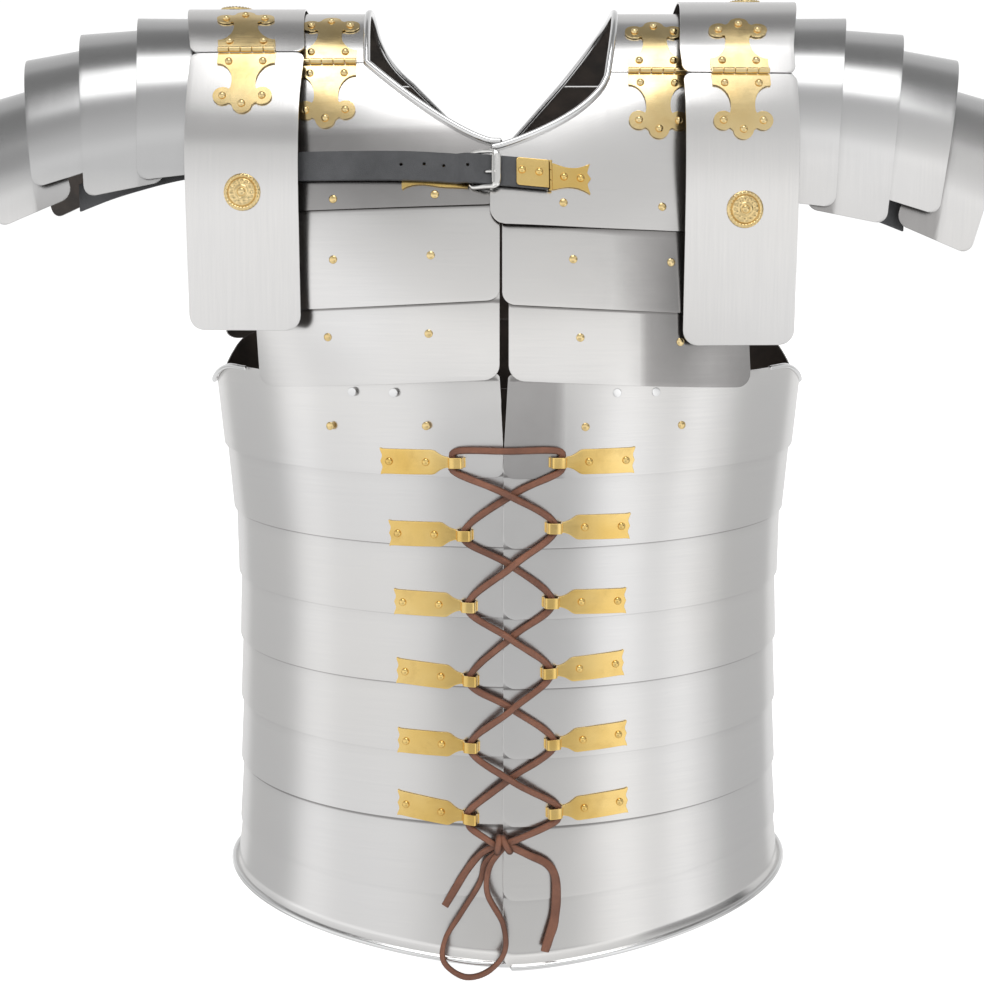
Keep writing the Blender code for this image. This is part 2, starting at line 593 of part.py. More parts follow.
# ---------------------------------------------------------------- shoulder lames
def lame_surface(lame, side_name):
    """Inner face of a lame: length along the arch from its crest, forwards, and width towards +X."""
    side = SIDES[side_name]
    slope = math.radians(lame["slope"])
    lean = math.tan(math.radians(lame["lean"] + LAME_LEAN[side_name]))
    radius = lame["radius"]
    quarter = 0.5 * math.pi * radius

    def surface(length, b):
        wide = side * b
        own = radius + wide * math.tan(math.radians(LAME_FLARE))
        turn = max(min(length, quarter), -quarter) / radius
        leg = max(abs(length) - quarter, 0.0)
        depth = own * math.sin(turn)
        up = own * math.cos(turn) - radius - leg
        toe = LAME_TOE * (math.hypot(depth, 0.010) - 0.010)
        out = lame["out"] + wide * math.cos(slope) + up * lean - toe
        height = lame["height"] - wide * math.sin(slope) + up
        return Vector((side * out, -depth, height))
    return surface


def shoulder_lame(side_name, number, lame, finish):
    """One curved lame over the arm, open below."""
    slide = LAME_SLIDE[side_name]
    quarter = 0.5 * math.pi * lame["radius"]
    front = quarter + lame["leg"] + slide
    back = -(quarter + LAME_BACK_LEG)
    half = 0.5 * LAME_WIDTH
    radius = 0.006
    arch = spread(-quarter, quarter, 13)
    lengths = [back, back + 0.3 * radius, back + radius]
    lengths += [length for length in arch if back + 1.3 * radius < length < front - 1.3 * radius]
    lengths += [front - radius, front - 0.3 * radius, front]
    grid = []
    for length in lengths:
        cut = corner(min(front - length, length - back), radius)
        grid.append([(length, b, 0.0) for b in (cut - half, half - cut)])
    return sheet_on(f"lame_{number}_{side_name}", lame_surface(lame, side_name), grid, STEEL, finish)


def sleeve_strap(side_name, finish):
    """Leather that carries the front ends of the lames, along their inner faces."""
    side = SIDES[side_name]
    slide = 0.75 * LAME_SLIDE[side_name]

    def surface(down, b):
        place = (side * b) / 0.025
        row = read_row(SLEEVE_STRAP, place)
        return Vector((side * row["out"], -row["depth"], row["height"] - slide - down))

    last = 0.025 * (len(SLEEVE_STRAP) - 1)
    grid = []
    for down in (-0.5 * STRAP_WIDTH, 0.5 * STRAP_WIDTH):
        grid.append([(down, side * along, 0.0) for along in spread(0.0005, last - 0.0005, 9)])
    return sheet_on(f"sleeve_strap_{side_name}", surface, grid, SLEEVE_STRAP_THICK, finish)


# ---------------------------------------------------------------- girdle
def hoop_lean(number, column):
    """How far a hoop's lower edge stands out beyond its upper edge, so that it clears the hoop above."""
    if number == 0:
        return HOOP_LEAN[column]
    growth = HOOPS[number][column] - HOOPS[number - 1][column] + STEEL + HOOP_GAP
    at_low_edge_above = growth / (1.0 - OVERLAP / HOOPS[number]["tall"])
    at_own_top = growth + hoop_lean(number - 1, column) * OVERLAP / HOOPS[number - 1]["tall"]
    return max(at_low_edge_above, at_own_top)


def end_stack(turn):
    """Distance out of a hoop near its two ends: the right-hand end lies over the left-hand one."""
    over = 1.0 - blend(turn, 0.0, 0.9)
    under = blend(turn, 2.0 * math.pi - 0.9, 2.0 * math.pi)
    return 0.5 * END_STACK * (over - under)


def hoop_surface(number):
    """Outer face of a hoop: metres down from its upper edge, and turn from the front towards +X."""
    hoop = HOOPS[number]
    above = HOOPS[max(number - 1, 0)]
    lean_wide = hoop_lean(number, "wide")
    lean_deep = hoop_lean(number, "deep")
    flare = RIM_FLARE if number == len(HOOPS) - 1 else 0.0

    def surface(down, turn):
        share = down / hoop["tall"]
        out = end_stack(turn) + flare * max(down - hoop["tall"] + RIM_TALL, 0.0) / RIM_TALL
        x = (hoop["wide"] + out - lean_wide * (1.0 - share)) * math.sin(turn)
        y = -(hoop["deep"] + out - lean_deep * (1.0 - share)) * math.cos(turn)
        height = hoop["low"] + hoop["tall"] - down + GIRDLE_TILT * (y + hoop["deep"])
        column = "rise_right" if x > 0 else "rise_left"
        rise = above[column] + (hoop[column] - above[column]) * share
        return Vector((GIRDLE_CENTRE_X + x, y, height + rise * (math.hypot(x, 0.02) - 0.02)))
    return surface


def turn_at(number, x):
    """Turn at which the front of a hoop has this X."""
    return math.asin((x - GIRDLE_CENTRE_X) / HOOPS[number]["wide"])


def hoop_ends(number, share):
    """X of the right-hand end and of the left-hand end, at a share of the way down."""
    if number == 0:
        return 0.0105 + (0.0074 - 0.0105) * share, 0.0052 + (0.0086 - 0.0052) * share
    return FRONT_SEAM_X, FRONT_SEAM_X + END_LAP


def arm_scoop(number, turn):
    """How far the top hoop is cut down: a low step in front, then the arm's hollow, steep behind."""
    if number > 0:
        return 0.0
    angle = abs(math.remainder(turn, 2.0 * math.pi)) / math.pi
    if angle > 0.5:
        return ARM_SCOOP * (1.0 - blend(angle, 0.50, 0.64))
    return ARM_STEP * blend(angle, 0.17, 0.27) + (ARM_SCOOP - ARM_STEP) * blend(angle, 0.34, 0.49)


def girdle_hoop(number, finish):
    """One hoop from its right-hand end round the back to its left-hand end."""
    hoop = HOOPS[number]
    radius = 0.008
    steps = corner_steps(radius)
    full = 2.0 * math.pi
    body_turns = spread(0.14, full - 0.14, 33)
    if number == 0:
        halfway = [0.5 * (first + second) for first, second in zip(body_turns, body_turns[1:])]
        body_turns += [turn for turn in halfway if 0.30 < min(turn, full - turn) / math.pi < 0.66]
        body_turns.sort()
    rows = [0.0, 1.0]
    if number == len(HOOPS) - 1:
        rows = [0.0, 1.0 - RIM_TALL / hoop["tall"], 1.0]
    grid = []
    for share in rows:
        right_x, left_x = hoop_ends(number, share)
        right = turn_at(number, right_x)
        left = full + turn_at(number, left_x)
        entries = [(right + step / hoop["wide"], corner(step, radius)) for step in steps]
        entries += [(turn, 0.0) for turn in body_turns]
        entries += [(left - step / hoop["wide"], corner(step, radius)) for step in reversed(steps)]
        line = []
        for turn, cut in entries:
            top = 0.5 * cut + arm_scoop(number, turn)
            bottom = hoop["tall"] - cut
            line.append((top + (bottom - top) * share, turn, -STEEL))
        grid.append(line)
    return sheet_on(f"girdle_hoop_{number + 1}", hoop_surface(number), grid, STEEL, finish)


def hook_spot(side_name, number, along, offset, lift):
    """Point over a hoop: distance along a tie hook from its outer end, offset down and lift off the hoop."""
    side = SIDES[side_name]
    hook = TIE_HOOKS[side_name][number]
    turn = turn_at(number, GIRDLE_CENTRE_X + side * (hook["gap"] + HOOK_REACH - along))
    turn += 2.0 * math.pi if side < 0 else 0.0
    middle = HOOPS[number]["tall"] - hook["low"] - hook["tilt"] * (HOOK_MIDDLE - along)
    return lifted(hoop_surface(number), middle + offset, turn, lift)


def tie_hook(side_name, number, finish):
    """A brass tie hook near the lower edge of a hoop, its raised neck making a tunnel for the lace."""
    outer = []
    inner = []
    for row in HOOK_OUTLINE:
        offsets = [row["half"] * share for share in (-1.0, 0.0, 1.0)]
        spots = [(side_name, number, row["along"], offset) for offset in offsets]
        outer.append([hook_spot(*spot, row["over"]) for spot in spots])
        inner.append([hook_spot(*spot, row["under"]) for spot in spots])
    return closed_sheet(f"tie_hook_{number + 1}_{side_name}", outer, inner, finish)


def smooth_route(points, steps):
    """Points along a smooth curve through a route; steps gives where to read each stretch."""
    route = []
    last = len(points) - 1
    for i in range(last):
        p0, p1, p2, p3 = (Vector(points[min(max(i + k, 0), last)]) for k in (-1, 0, 1, 2))
        for t in steps[i]:
            route.append(p1 + 0.5 * t * (
                p2 - p0 + t * (2 * p0 - 5 * p1 + 4 * p2 - p3 + t * (3 * (p1 - p2) + p3 - p0))))
    route.append(Vector(points[-1]))
    return route


def hook_point(side_name, number):
    """Where the lace passes through a tie hook."""
    return hook_spot(side_name, number, HOOK_MIDDLE, 0.0, 0.5 * HOOK_TUNNEL)


def crossing_point(number, lift):
    """Where two strands cross, between a hoop's tie hooks and the next hoop's."""
    above = hook_point("right", number)
    below = hook_point("right", number + 1)
    height = 0.5 * (above.z + below.z)
    surface = hoop_surface(number + 1)
    turn = turn_at(number + 1, LACE_CROSSING_X)
    down = surface(0.0, turn).z - height
    return lifted(surface, down, turn, lift)


def lace_strand(first_side, lift):
    """Points of the strand that passes one hook of each pair, from the top pair down to the sixth."""
    sides = ["left", "right"] if first_side == "left" else ["right", "left"]
    points = []
    for number in range(6):
        side_name = sides[number % 2]
        hook = hook_point(side_name, number)
        inwards = -0.0010 * SIDES[side_name]
        if number == 5:
            points.append(hook + Vector((inwards, -0.0006, 0.0064)))
        points.append(hook)
        if number in (0, 5):
            points.append(hook + Vector((inwards, -0.0006, -0.0066)))
        if number < 5:
            points.append(crossing_point(number, lift))
    return points


def lace_route():
    """Points of the lace from the knot up through the hooks, over the top and down to the knot."""
    upper = list(reversed(lace_strand("left", LACE_OVER)))
    lower = lace_strand("right", LACE_UNDER)
    knot = Vector(LACE_KNOT["middle"])
    start = knot + Vector((LACE_KNOT["wide"] + 0.0003, 0.0, 0.0030))
    end = knot + Vector((-LACE_KNOT["wide"] - 0.0003, 0.0, 0.0025))
    top_left = upper[-1] + Vector((0.0014, -0.0014, LACE_TOP_RISE))
    top_right = lower[0] + Vector((-0.0014, -0.0014, LACE_TOP_RISE))
    over = 0.5 * (top_left + top_right) + Vector((0.0, -0.0038, 0.0004))
    return [start] + upper + [top_left, over, top_right] + lower + [end]


def lace_steps(points):
    """Where to read each stretch: closer together near the tie hooks, where the lace bends."""
    crossings = [crossing_point(number, lift) for number in range(5) for lift in (LACE_OVER, LACE_UNDER)]
    steps = []
    for first, second in zip(points, points[1:]):
        from_crossing = min((first - crossing).length for crossing in crossings) < 1e-6
        to_crossing = min((second - crossing).length for crossing in crossings) < 1e-6
        if from_crossing:
            steps.append([0.0, 0.40, 0.78])
        elif to_crossing:
            steps.append([0.0, 0.22, 0.60])
        else:
            steps.append([0.0] if (first - second).length < 0.0075 else [0.0, 0.50])
    return steps


def lace(finish):
    """The lace as one tube, from one side of the knot to the other."""
    route = lace_route()
    points = smooth_route(route, lace_steps(route))
    curve = bpy.data.curves.new("lace", "CURVE")
    curve.dimensions = "3D"
    curve.bevel_depth = 0.5 * LACE
    curve.bevel_resolution = 2
    curve.use_fill_caps = True
    curve.render_resolution_u = 0
    spline = curve.splines.new("POLY")
    spline.points.add(len(points) - 1)
    for item, point in zip(spline.points, points):
        item.co = (*point, 1.0)
    curve.materials.append(finish)
    item = bpy.data.objects.new("lace", curve)
    bpy.context.scene.collection.objects.link(item)


def round_tube(name, points, radius, finish):
    """A closed round tube with flat ends."""
    sides = 8
    bm = bmesh.new()
    rings = []
    side = Vector((0.0, 1.0, 0.0))
    for i, point in enumerate(points):
        before = points[max(i - 1, 0)]
        after = points[min(i + 1, len(points) - 1)]
        along = (after - before).normalized()
        side = (side - along * side.dot(along)).normalized()
        other = along.cross(side)
        ring = []
        for k in range(sides):
            angle = 2.0 * math.pi * k / sides
            ring.append(bm.verts.new(point + radius * (side * math.cos(angle) + other * math.sin(angle))))
        rings.append(ring)
    for first, second in zip(rings, rings[1:]):
        for k in range(sides):
            n = (k + 1) % sides
            bm.faces.new((first[k], first[n], second[n], second[k]))
    bm.faces.new(rings[0])
    bm.faces.new(rings[-1])
    bmesh.ops.recalc_face_normals(bm, faces=bm.faces)
    mesh = bpy.data.meshes.new(name)
    bm.to_mesh(mesh)
    bm.free()
    return add_object(name, mesh, finish)


def lace_bow(finish):
    """The knot with the lace's two free ends and its loop, in one piece."""
    bm = bmesh.new()
    bmesh.ops.create_uvsphere(bm, u_segments=12, v_segments=8, radius=1.0)
    for vert in bm.verts:
        vert.co.x = vert.co.x * LACE_KNOT["wide"] + LACE_KNOT["middle"][0]
        vert.co.y = vert.co.y * LACE_KNOT["deep"] + LACE_KNOT["middle"][1]
        vert.co.z = vert.co.z * LACE_KNOT["tall"] + LACE_KNOT["middle"][2]
    mesh = bpy.data.meshes.new("lace_bow")
    bm.to_mesh(mesh)
    bm.free()
    knot = add_object("lace_bow", mesh, finish)
    middle = Vector(LACE_KNOT["middle"])
    routes = {
        "tail": LACE_TAIL + [middle + Vector((-0.001, 0.001, 0.0))],
        "loop_out": [middle + Vector((-0.001, 0.0005, -0.0005))] + LACE_LOOP[1:7],
        "loop_back": LACE_LOOP[6:-1] + [middle + Vector((0.0005, -0.0010, -0.0005))],
        "end": [middle + Vector((0.001, -0.0005, 0.0))] + LACE_END[1:],
    }
    for name, route in routes.items():
        tube = round_tube(f"bow_{name}", smooth_route(route, [[0.0, 0.5]] * len(route)), 0.5 * LACE, finish)
        tube.hide_render = True
        tube.display_type = "WIRE"
        joined = knot.modifiers.new(name, "BOOLEAN")
        joined.operation = "UNION"
        joined.solver = "EXACT"
        joined.object = tube


def girdle_leather(side_name, finish):
    """Leather inside the girdle, behind the tie hooks, touching the upper edge of every hoop."""
    side = SIDES[side_name]
    middle = GIRDLE_CENTRE_X + side * 0.062
    outer = []
    inner = []
    for number in range(len(HOOPS)):
        surface = hoop_surface(number)
        downs = [0.0]
        if number == len(HOOPS) - 1:
            downs.append(HOOPS[number]["tall"] - 0.012)
        for down in downs:
            turns = [turn_at(number, middle + share * GIRDLE_LEATHER_WIDTH) for share in (-0.5, 0.0, 0.5)]
            turns = [turn + (2.0 * math.pi if side < 0 else 0.0) for turn in turns]
            near = -STEEL - 2.0 * AIR
            outer.append([lifted(surface, down, turn, near) for turn in turns])
            inner.append([lifted(surface, down, turn, near - GIRDLE_LEATHER_THICK) for turn in turns])
    return closed_sheet(f"girdle_leather_{side_name}", outer, inner, finish)


# ---------------------------------------------------------------- closure at the throat
def strap_height(x):
    """Height of the middle line of the closing strap."""
    place = solve(lambda place: read_row(STRAP_LINE, place)["x"], x, 0.0, len(STRAP_LINE) - 1)
    return read_row(STRAP_LINE, place)["height"]


def breast_face(place, x):
    """Lift of the breastplates' outer face along the strap, easing up onto the right-hand plate."""
    step = BREAST_STACK * blend(x, -0.013, -0.0025) * (1.0 - blend(x, 0.02, 0.08))
    return plate_lift(place, CHEST_PLATES[0]) + step + STEEL


def strap_lift(place, x):
    """Lift of the strap's inner face: over the left-hand fitting and over the buckle's pivot bar."""
    hump = 0.0028 * (1.0 - blend(abs(x - BUCKLE_PIVOT), 0.002, 0.010))
    return breast_face(place, x) + BRASS + 2.0 * AIR + hump


def closing_strap(finish):
    """Leather strap from its free end on the left to the right-hand fitting."""
    radius = 0.006
    half = 0.5 * STRAP_WIDTH
    xs = [STRAP_TIP + step for step in corner_steps(radius)]
    xs += spread(STRAP_TIP + radius, -0.030, 9)[1:]
    xs += [-0.0245, -0.020, BUCKLE_PIVOT - 0.002, BUCKLE_PIVOT + 0.002, -0.009, -0.0045, 0.0, 0.006, 0.016]
    xs += [STRAP_END]
    grid = []
    for x in xs:
        reach = half - corner(x - STRAP_TIP, radius)
        line = []
        for offset in (reach, 0.0, -reach):
            place = front_place(x, strap_height(x) + offset)
            line.append((place, x, strap_lift(place, x)))
        grid.append(line)
    return sheet_on("closing_strap", body, grid, STRAP_THICK, finish)


def fitting(name, rows, finish):
    """A fitting along the strap line. rows give x, half width, and the heights of its two faces."""
    outer = []
    inner = []
    for x, half, under, over in rows:
        places = [front_place(x, strap_height(x) + half * share) for share in (1.0, 0.0, -1.0)]
        outer.append([lifted(body, place, x, over(place, x)) for place in places])
        inner.append([lifted(body, place, x, under(place, x)) for place in places])
    return closed_sheet(name, outer, inner, finish)


def right_fitting(finish):
    """Brass plate over the strap's end, its knuckle and the fishtail plate on the right breastplate."""
    def on_plate(extra):
        return lambda place, x: breast_face(place, x) + AIR + extra

    def on_strap(extra):
        return lambda place, x: strap_lift(place, x) + STRAP_THICK + AIR + extra

    low = on_plate(0.0)
    knuckle_low = STRAP_END + 0.0010
    knuckle_high = knuckle_low + 0.0024
    rows = [
        (0.0155, 0.0070, on_strap(0.0), on_strap(BRASS)),
        (0.0162, 0.0084, on_strap(0.0), on_strap(BRASS)),
        (0.0175, 0.0088, on_strap(0.0), on_strap(BRASS)),
        (knuckle_low - 0.0001, 0.0088, on_strap(0.0), on_strap(BRASS)),
        (knuckle_low, 0.0098, low, on_strap(BRASS + 0.0005)),
        (knuckle_high, 0.0098, low, on_strap(BRASS + 0.0005)),
        (knuckle_high + 0.0001, 0.0087, low, on_plate(BRASS)),
        (0.0440, 0.0074, low, on_plate(BRASS)),
        (0.0525, 0.0063, low, on_plate(BRASS)),
        (0.0590, 0.0076, low, on_plate(BRASS)),
        (0.0642, 0.0098, low, on_plate(BRASS)),
    ]
    return fitting("closure_plate_right", rows, finish)


def left_fitting(finish):
    """Brass plate on the left breastplate behind the strap, which holds the buckle's pivot."""
    def face(extra):
        return lambda place, x: breast_face(place, x) + AIR + extra

    low = face(0.0)
    high = face(BRASS)
    rows = [
        (-0.0585, 0.0122, low, high),
        (-0.0500, 0.0100, low, high),
        (-0.0420, 0.0085, low, high),
        (-0.0340, 0.0102, low, high),
        (-0.0300, 0.0118, low, high),
        (BUCKLE_PIVOT - BUCKLE_WIRE - AIR, 0.0118, low, high),
    ]
    return fitting("closure_plate_left", rows, finish)


def buckle(finish):
    """Buckle frame: the pivot bar under the strap, the end bar over it and an arm past each edge."""
    pivot_lift = AIR + BUCKLE_WIRE
    bar_lift = BRASS + 2.0 * AIR + STRAP_THICK + AIR + BUCKLE_WIRE + 0.0003
    bend = 0.0045
    half = BUCKLE_HALF
    corners = [
        (BUCKLE_PIVOT, -half + bend, pivot_lift, 1.0), (BUCKLE_PIVOT, half - bend, pivot_lift, 1.0),
        (BUCKLE_PIVOT + bend, half, pivot_lift + 0.0010, 1.0),
        (BUCKLE_BAR - bend, half, bar_lift - 0.0010, 1.0),
        (BUCKLE_BAR, half - bend, bar_lift, 2.0), (BUCKLE_BAR, -half + bend, bar_lift, 2.0),
        (BUCKLE_BAR - bend, -half, bar_lift - 0.0010, 1.0),
        (BUCKLE_PIVOT + bend, -half, pivot_lift + 0.0010, 1.0),
    ]
    middle_x = 0.5 * (BUCKLE_PIVOT + BUCKLE_BAR)
    centre = body(front_place(middle_x, strap_height(middle_x)), middle_x)
    rings = []
    for x, up, lift, wide in corners:
        place = front_place(x, strap_height(x) + up)
        middle = lifted(body, place, x, breast_face(place, x) + lift)
        outwards = (lifted(body, place, x, 1.0) - lifted(body, place, x, 0.0)).normalized()
        away = middle - centre
        away = (away - outwards * away.dot(outwards)).normalized()
        ring = []
        for i in range(6):
            angle = math.radians(60.0 * i + 30.0)
            ring.append(middle + outwards * BUCKLE_WIRE * math.sin(angle)
                        + away * BUCKLE_WIRE * wide * math.cos(angle))
        rings.append(ring)
    bm = bmesh.new()
    verts = [[bm.verts.new(point) for point in ring] for ring in rings]
    for i, ring in enumerate(verts):
        after = verts[(i + 1) % len(verts)]
        for j in range(6):
            k = (j + 1) % 6
            bm.faces.new((ring[j], ring[k], after[k], after[j]))
    bmesh.ops.recalc_face_normals(bm, faces=bm.faces)
    mesh = bpy.data.meshes.new("buckle")
    bm.to_mesh(mesh)
    bm.free()
    mesh.shade_smooth()
    mesh.set_sharp_from_angle(angle=math.radians(50))
    return add_object("buckle", mesh, finish)


# ---------------------------------------------------------------- build
def clear_scene():
    """Remove what the file starts with."""
    for item in list(bpy.data.objects):
        bpy.data.objects.remove(item, do_unlink=True)


def main():
    clear_scene()
    steel = material("steel", (0.62, 0.62, 0.63), 0.28, 1.0)
    brass = material("brass", (0.80, 0.60, 0.26), 0.30, 1.0)
    silver = material("buckle_metal", (0.80, 0.80, 0.80), 0.20, 1.0)
    leather = material("black_leather", (0.03, 0.03, 0.035), 0.55, 0.0)
    brown = material("brown_leather", (0.20, 0.075, 0.045), 0.55, 0.0)
    for side_name in SIDES:
        collar_plate(side_name, steel)
        for plate in CHEST_PLATES:
            upper_plate(side_name, plate, 1, steel)
        for plate in BACK_PLATES:
            upper_plate(side_name, plate, -1, steel)
        collar_hinge(side_name, 1, brass)
        collar_hinge(side_name, -1, brass)
        shoulder_guard(side_name, steel, brass)
        for number, lame in enumerate(LAMES):
            shoulder_lame(side_name, number + 1, lame, steel)
        sleeve_strap(side_name, leather)
        girdle_leather(side_name, leather)
    for number in range(len(HOOPS)):
        girdle_hoop(number, steel)
        if number < len(TIE_HOOKS["left"]):
            for side_name in SIDES:
                tie_hook(side_name, number, brass)
    lace(brown)
    lace_bow(brown)
    closing_strap(leather)
    right_fitting(brass)
    left_fitting(brass)
    buckle(silver)


main()
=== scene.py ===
"""Looks of a Roman segmented plate cuirass: fine plates, rims, rivets, leather and lace.

Metres, +Z up; the front faces -Y, and "left" and "right" are those of a viewer in front. The sizes and
surfaces are those of the CAD solids, read more finely, so every piece lies where its solid lies.
"""

import math

import bmesh
import bpy
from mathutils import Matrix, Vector, noise


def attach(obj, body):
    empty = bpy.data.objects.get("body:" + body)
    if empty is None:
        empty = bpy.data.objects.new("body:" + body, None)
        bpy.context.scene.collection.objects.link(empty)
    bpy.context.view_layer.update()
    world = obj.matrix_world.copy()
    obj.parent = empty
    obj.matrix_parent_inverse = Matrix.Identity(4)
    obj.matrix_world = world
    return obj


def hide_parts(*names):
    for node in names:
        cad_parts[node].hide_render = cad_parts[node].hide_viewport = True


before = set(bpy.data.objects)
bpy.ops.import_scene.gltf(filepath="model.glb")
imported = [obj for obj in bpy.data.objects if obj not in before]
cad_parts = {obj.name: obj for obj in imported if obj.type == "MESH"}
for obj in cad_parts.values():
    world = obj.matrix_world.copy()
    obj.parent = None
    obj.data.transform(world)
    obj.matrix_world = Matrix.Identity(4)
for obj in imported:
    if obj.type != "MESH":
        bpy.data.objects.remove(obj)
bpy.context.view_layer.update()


def rows_of(columns, *rows):
    """Rows of named values, from the names in one string and the values of each row."""
    return [dict(zip(columns.split(), row)) for row in rows]


# ---------------------------------------------------------------- driving sizes
STEEL = 0.0012           # thickness of every steel plate
BRASS = 0.0010           # thickness of hinge and fitting plates
AIR = 0.0004             # gap kept between pieces that touch
SHINGLE = 0.0026         # how far a plate's lower edge stands out beyond its upper edge
OVERLAP = 0.011          # height by which each plate covers the next

GIRDLE_CENTRE_X = 0.012  # the girdle hangs a little to +X of the shoulders
GIRDLE_TILT = 0.08       # rise of the hoops per metre towards the back
FRONT_SEAM_X = 0.0075    # where the right-hand hoop ends stop, over the left-hand ends
END_STACK = 0.0042       # distance out of the right-hand hoop ends over the left-hand ends
END_EASE = 0.9           # turn over which a hoop end comes to that distance, in radians

SIDES = {"left": -1.0, "right": 1.0}
# The two shoulders sit a little differently: how far each one's lames are slid forwards.
LAME_SLIDE = {"left": -0.0085, "right": 0.0095}
# Neck edges. In front: half width where it meets the joint, lowest height, and the two powers of its
# curve. Behind: half width at the joint and the power of the curve up to the crest.
NECKS = {
    "left": {"front": 0.0843, "low": -0.0954, "curve": 1.3, "end": 1.0, "back": 0.0615, "back_curve": 2.2},
    "right": {"front": 0.0778, "low": -0.1005, "curve": 1.2, "end": 0.6, "back": 0.0540, "back_curve": 1.1},
}

# Body profile in front of the shoulder crest and behind it: depth from the crest, height, half width,
# squareness and centre of the level section, and how far it droops outwards per metre.
PROFILE_COLUMNS = "depth height half_width square centre droop"
FRONT = rows_of(
    PROFILE_COLUMNS,
    (0.000, 0.000, 0.300, 6.0, 0.000, 0.00),
    (0.045, -0.010, 0.290, 5.0, 0.000, 0.00),
    (0.078, -0.041, 0.262, 3.6, 0.000, 0.00),
    (0.103, -0.085, 0.238, 2.8, 0.000, 0.01),
    (0.123, -0.137, 0.226, 2.5, 0.001, 0.03),
    (0.137, -0.200, 0.218, 2.2, 0.006, 0.05),
    (0.142, -0.260, 0.212, 2.0, 0.011, 0.05),
    (0.142, -0.330, 0.209, 2.0, 0.012, 0.05),
)
BACK = rows_of(
    PROFILE_COLUMNS,
    (0.000, 0.000, 0.300, 6.0, 0.000, 0.00),
    (0.045, -0.010, 0.290, 5.0, 0.000, 0.00),
    (0.080, -0.041, 0.262, 3.6, 0.000, 0.00),
    (0.109, -0.085, 0.240, 2.8, 0.000, 0.00),
    (0.131, -0.137, 0.229, 2.4, 0.002, 0.00),
    (0.142, -0.190, 0.223, 2.2, 0.008, 0.00),
    (0.146, -0.240, 0.217, 2.0, 0.012, 0.00),
    (0.146, -0.330, 0.209, 2.0, 0.012, 0.00),
)

# Girdle hoops, top to bottom: height of the lower edge in front, half width and half depth there, rise
# of the plate per metre outwards on each side, and plate height.
HOOPS = rows_of(
    "low wide deep rise_left rise_right tall",
    (-0.3140, 0.2100, 0.1420, 0.000, 0.000, 0.070),
    (-0.3610, 0.2040, 0.1400, 0.000, 0.000, 0.060),
    (-0.4095, 0.2015, 0.1385, 0.000, 0.000, 0.060),
    (-0.4575, 0.2015, 0.1380, 0.000, 0.000, 0.060),
    (-0.5065, 0.2020, 0.1380, 0.010, 0.010, 0.060),
    (-0.5545, 0.2030, 0.1385, 0.010, 0.010, 0.060),
    (-0.6070, 0.2045, 0.1395, 0.035, 0.065, 0.062),
    (-0.6537, 0.2070, 0.1415, 0.100, 0.115, 0.060),
)
HOOP_LEAN = {"wide": -0.0065, "deep": 0.0020}   # lean of the top hoop: at the sides, and in front
HOOP_GAP = 0.0008        # clearance between a hoop and the one it lies over
ARM_SCOOP = 0.026        # depth of the hollow cut under each arm in the top hoop
ARM_STEP = 0.0066        # how much of it is reached in front, before the hollow itself
# Places round the top hoop, from its front (0) to its back (1): where the low step begins and is full, the
# same for the hollow, where the hollow begins to end and is over, and the ends of its rolled edge.
ARM_STEP_SPAN = (0.17, 0.27)
ARM_FRONT_SPAN = (0.34, 0.49)
ARM_BACK_SPAN = (0.50, 0.64)
ARM_RIM_SPAN = (0.315, 0.505)
RIM_FLARE = 0.003        # how far the lowest rim turns out
RIM_TALL = 0.006

# Shoulder lames, from the guard outwards: middle of the crest line (outwards, height), its downward slope
# in degrees, arch radius, length of the straight front leg below it and that leg's lean in degrees.
LAMES = rows_of(
    "out height slope radius leg lean",
    (0.2245, -0.0030, 6.7, 0.0900, 0.0310, 0.5),
    (0.2655, -0.0120, 11.3, 0.0880, 0.0330, 3.0),
    (0.3055, -0.0270, 17.2, 0.0800, 0.0170, 6.0),
    (0.3435, -0.0560, 23.0, 0.0720, 0.0200, 14.0),
)
LAME_LEAN = {"left": -2.0, "right": 1.5}
LAME_BACK_LEG = 0.003
LAME_TOE = 0.20          # how far the front and back of a lame are drawn in, metres per metre of depth
LAME_WIDTH = 0.056
LAME_FLARE = 7.0         # degrees by which each lame widens outwards

# Inner face of a shoulder guard over the shoulder, back to front: depth before the crest and height,
# middle of the leaf (outwards) and half its width.
GUARD_PATH = rows_of(
    "depth height out half",
    (-0.1270, -0.2150, 0.1630, 0.0375),
    (-0.1230, -0.1500, 0.1650, 0.0385),
    (-0.1120, -0.0900, 0.1670, 0.0395),
    (-0.0900, -0.0430, 0.1690, 0.0400),
    (-0.0560, -0.0120, 0.1720, 0.0410),
    (-0.0260, -0.0005, 0.1735, 0.0414),
    (0.0000, 0.0030, 0.1735, 0.0416),
    (0.0217, 0.0011, 0.1722, 0.0412),
    (0.0433, -0.0055, 0.1700, 0.0405),
    (0.0627, -0.0172, 0.1672, 0.0396),
    (0.0785, -0.0335, 0.1645, 0.0388),
    (0.0865, -0.0448, 0.1645, 0.0384),
    (0.0969, -0.0618, 0.1652, 0.0381),
    (0.1059, -0.0795, 0.1652, 0.0380),
    (0.1124, -0.0982, 0.1650, 0.0379),
    (0.1172, -0.1276, 0.1646, 0.0377),
    (0.1200, -0.1725, 0.1640, 0.0375),
    (0.1226, -0.2450, 0.1632, 0.0374),
)
GUARD_CREST = 6          # row of GUARD_PATH at the crest
GUARD_YAW = 0.10         # how much the front leaf turns outwards, metres per metre
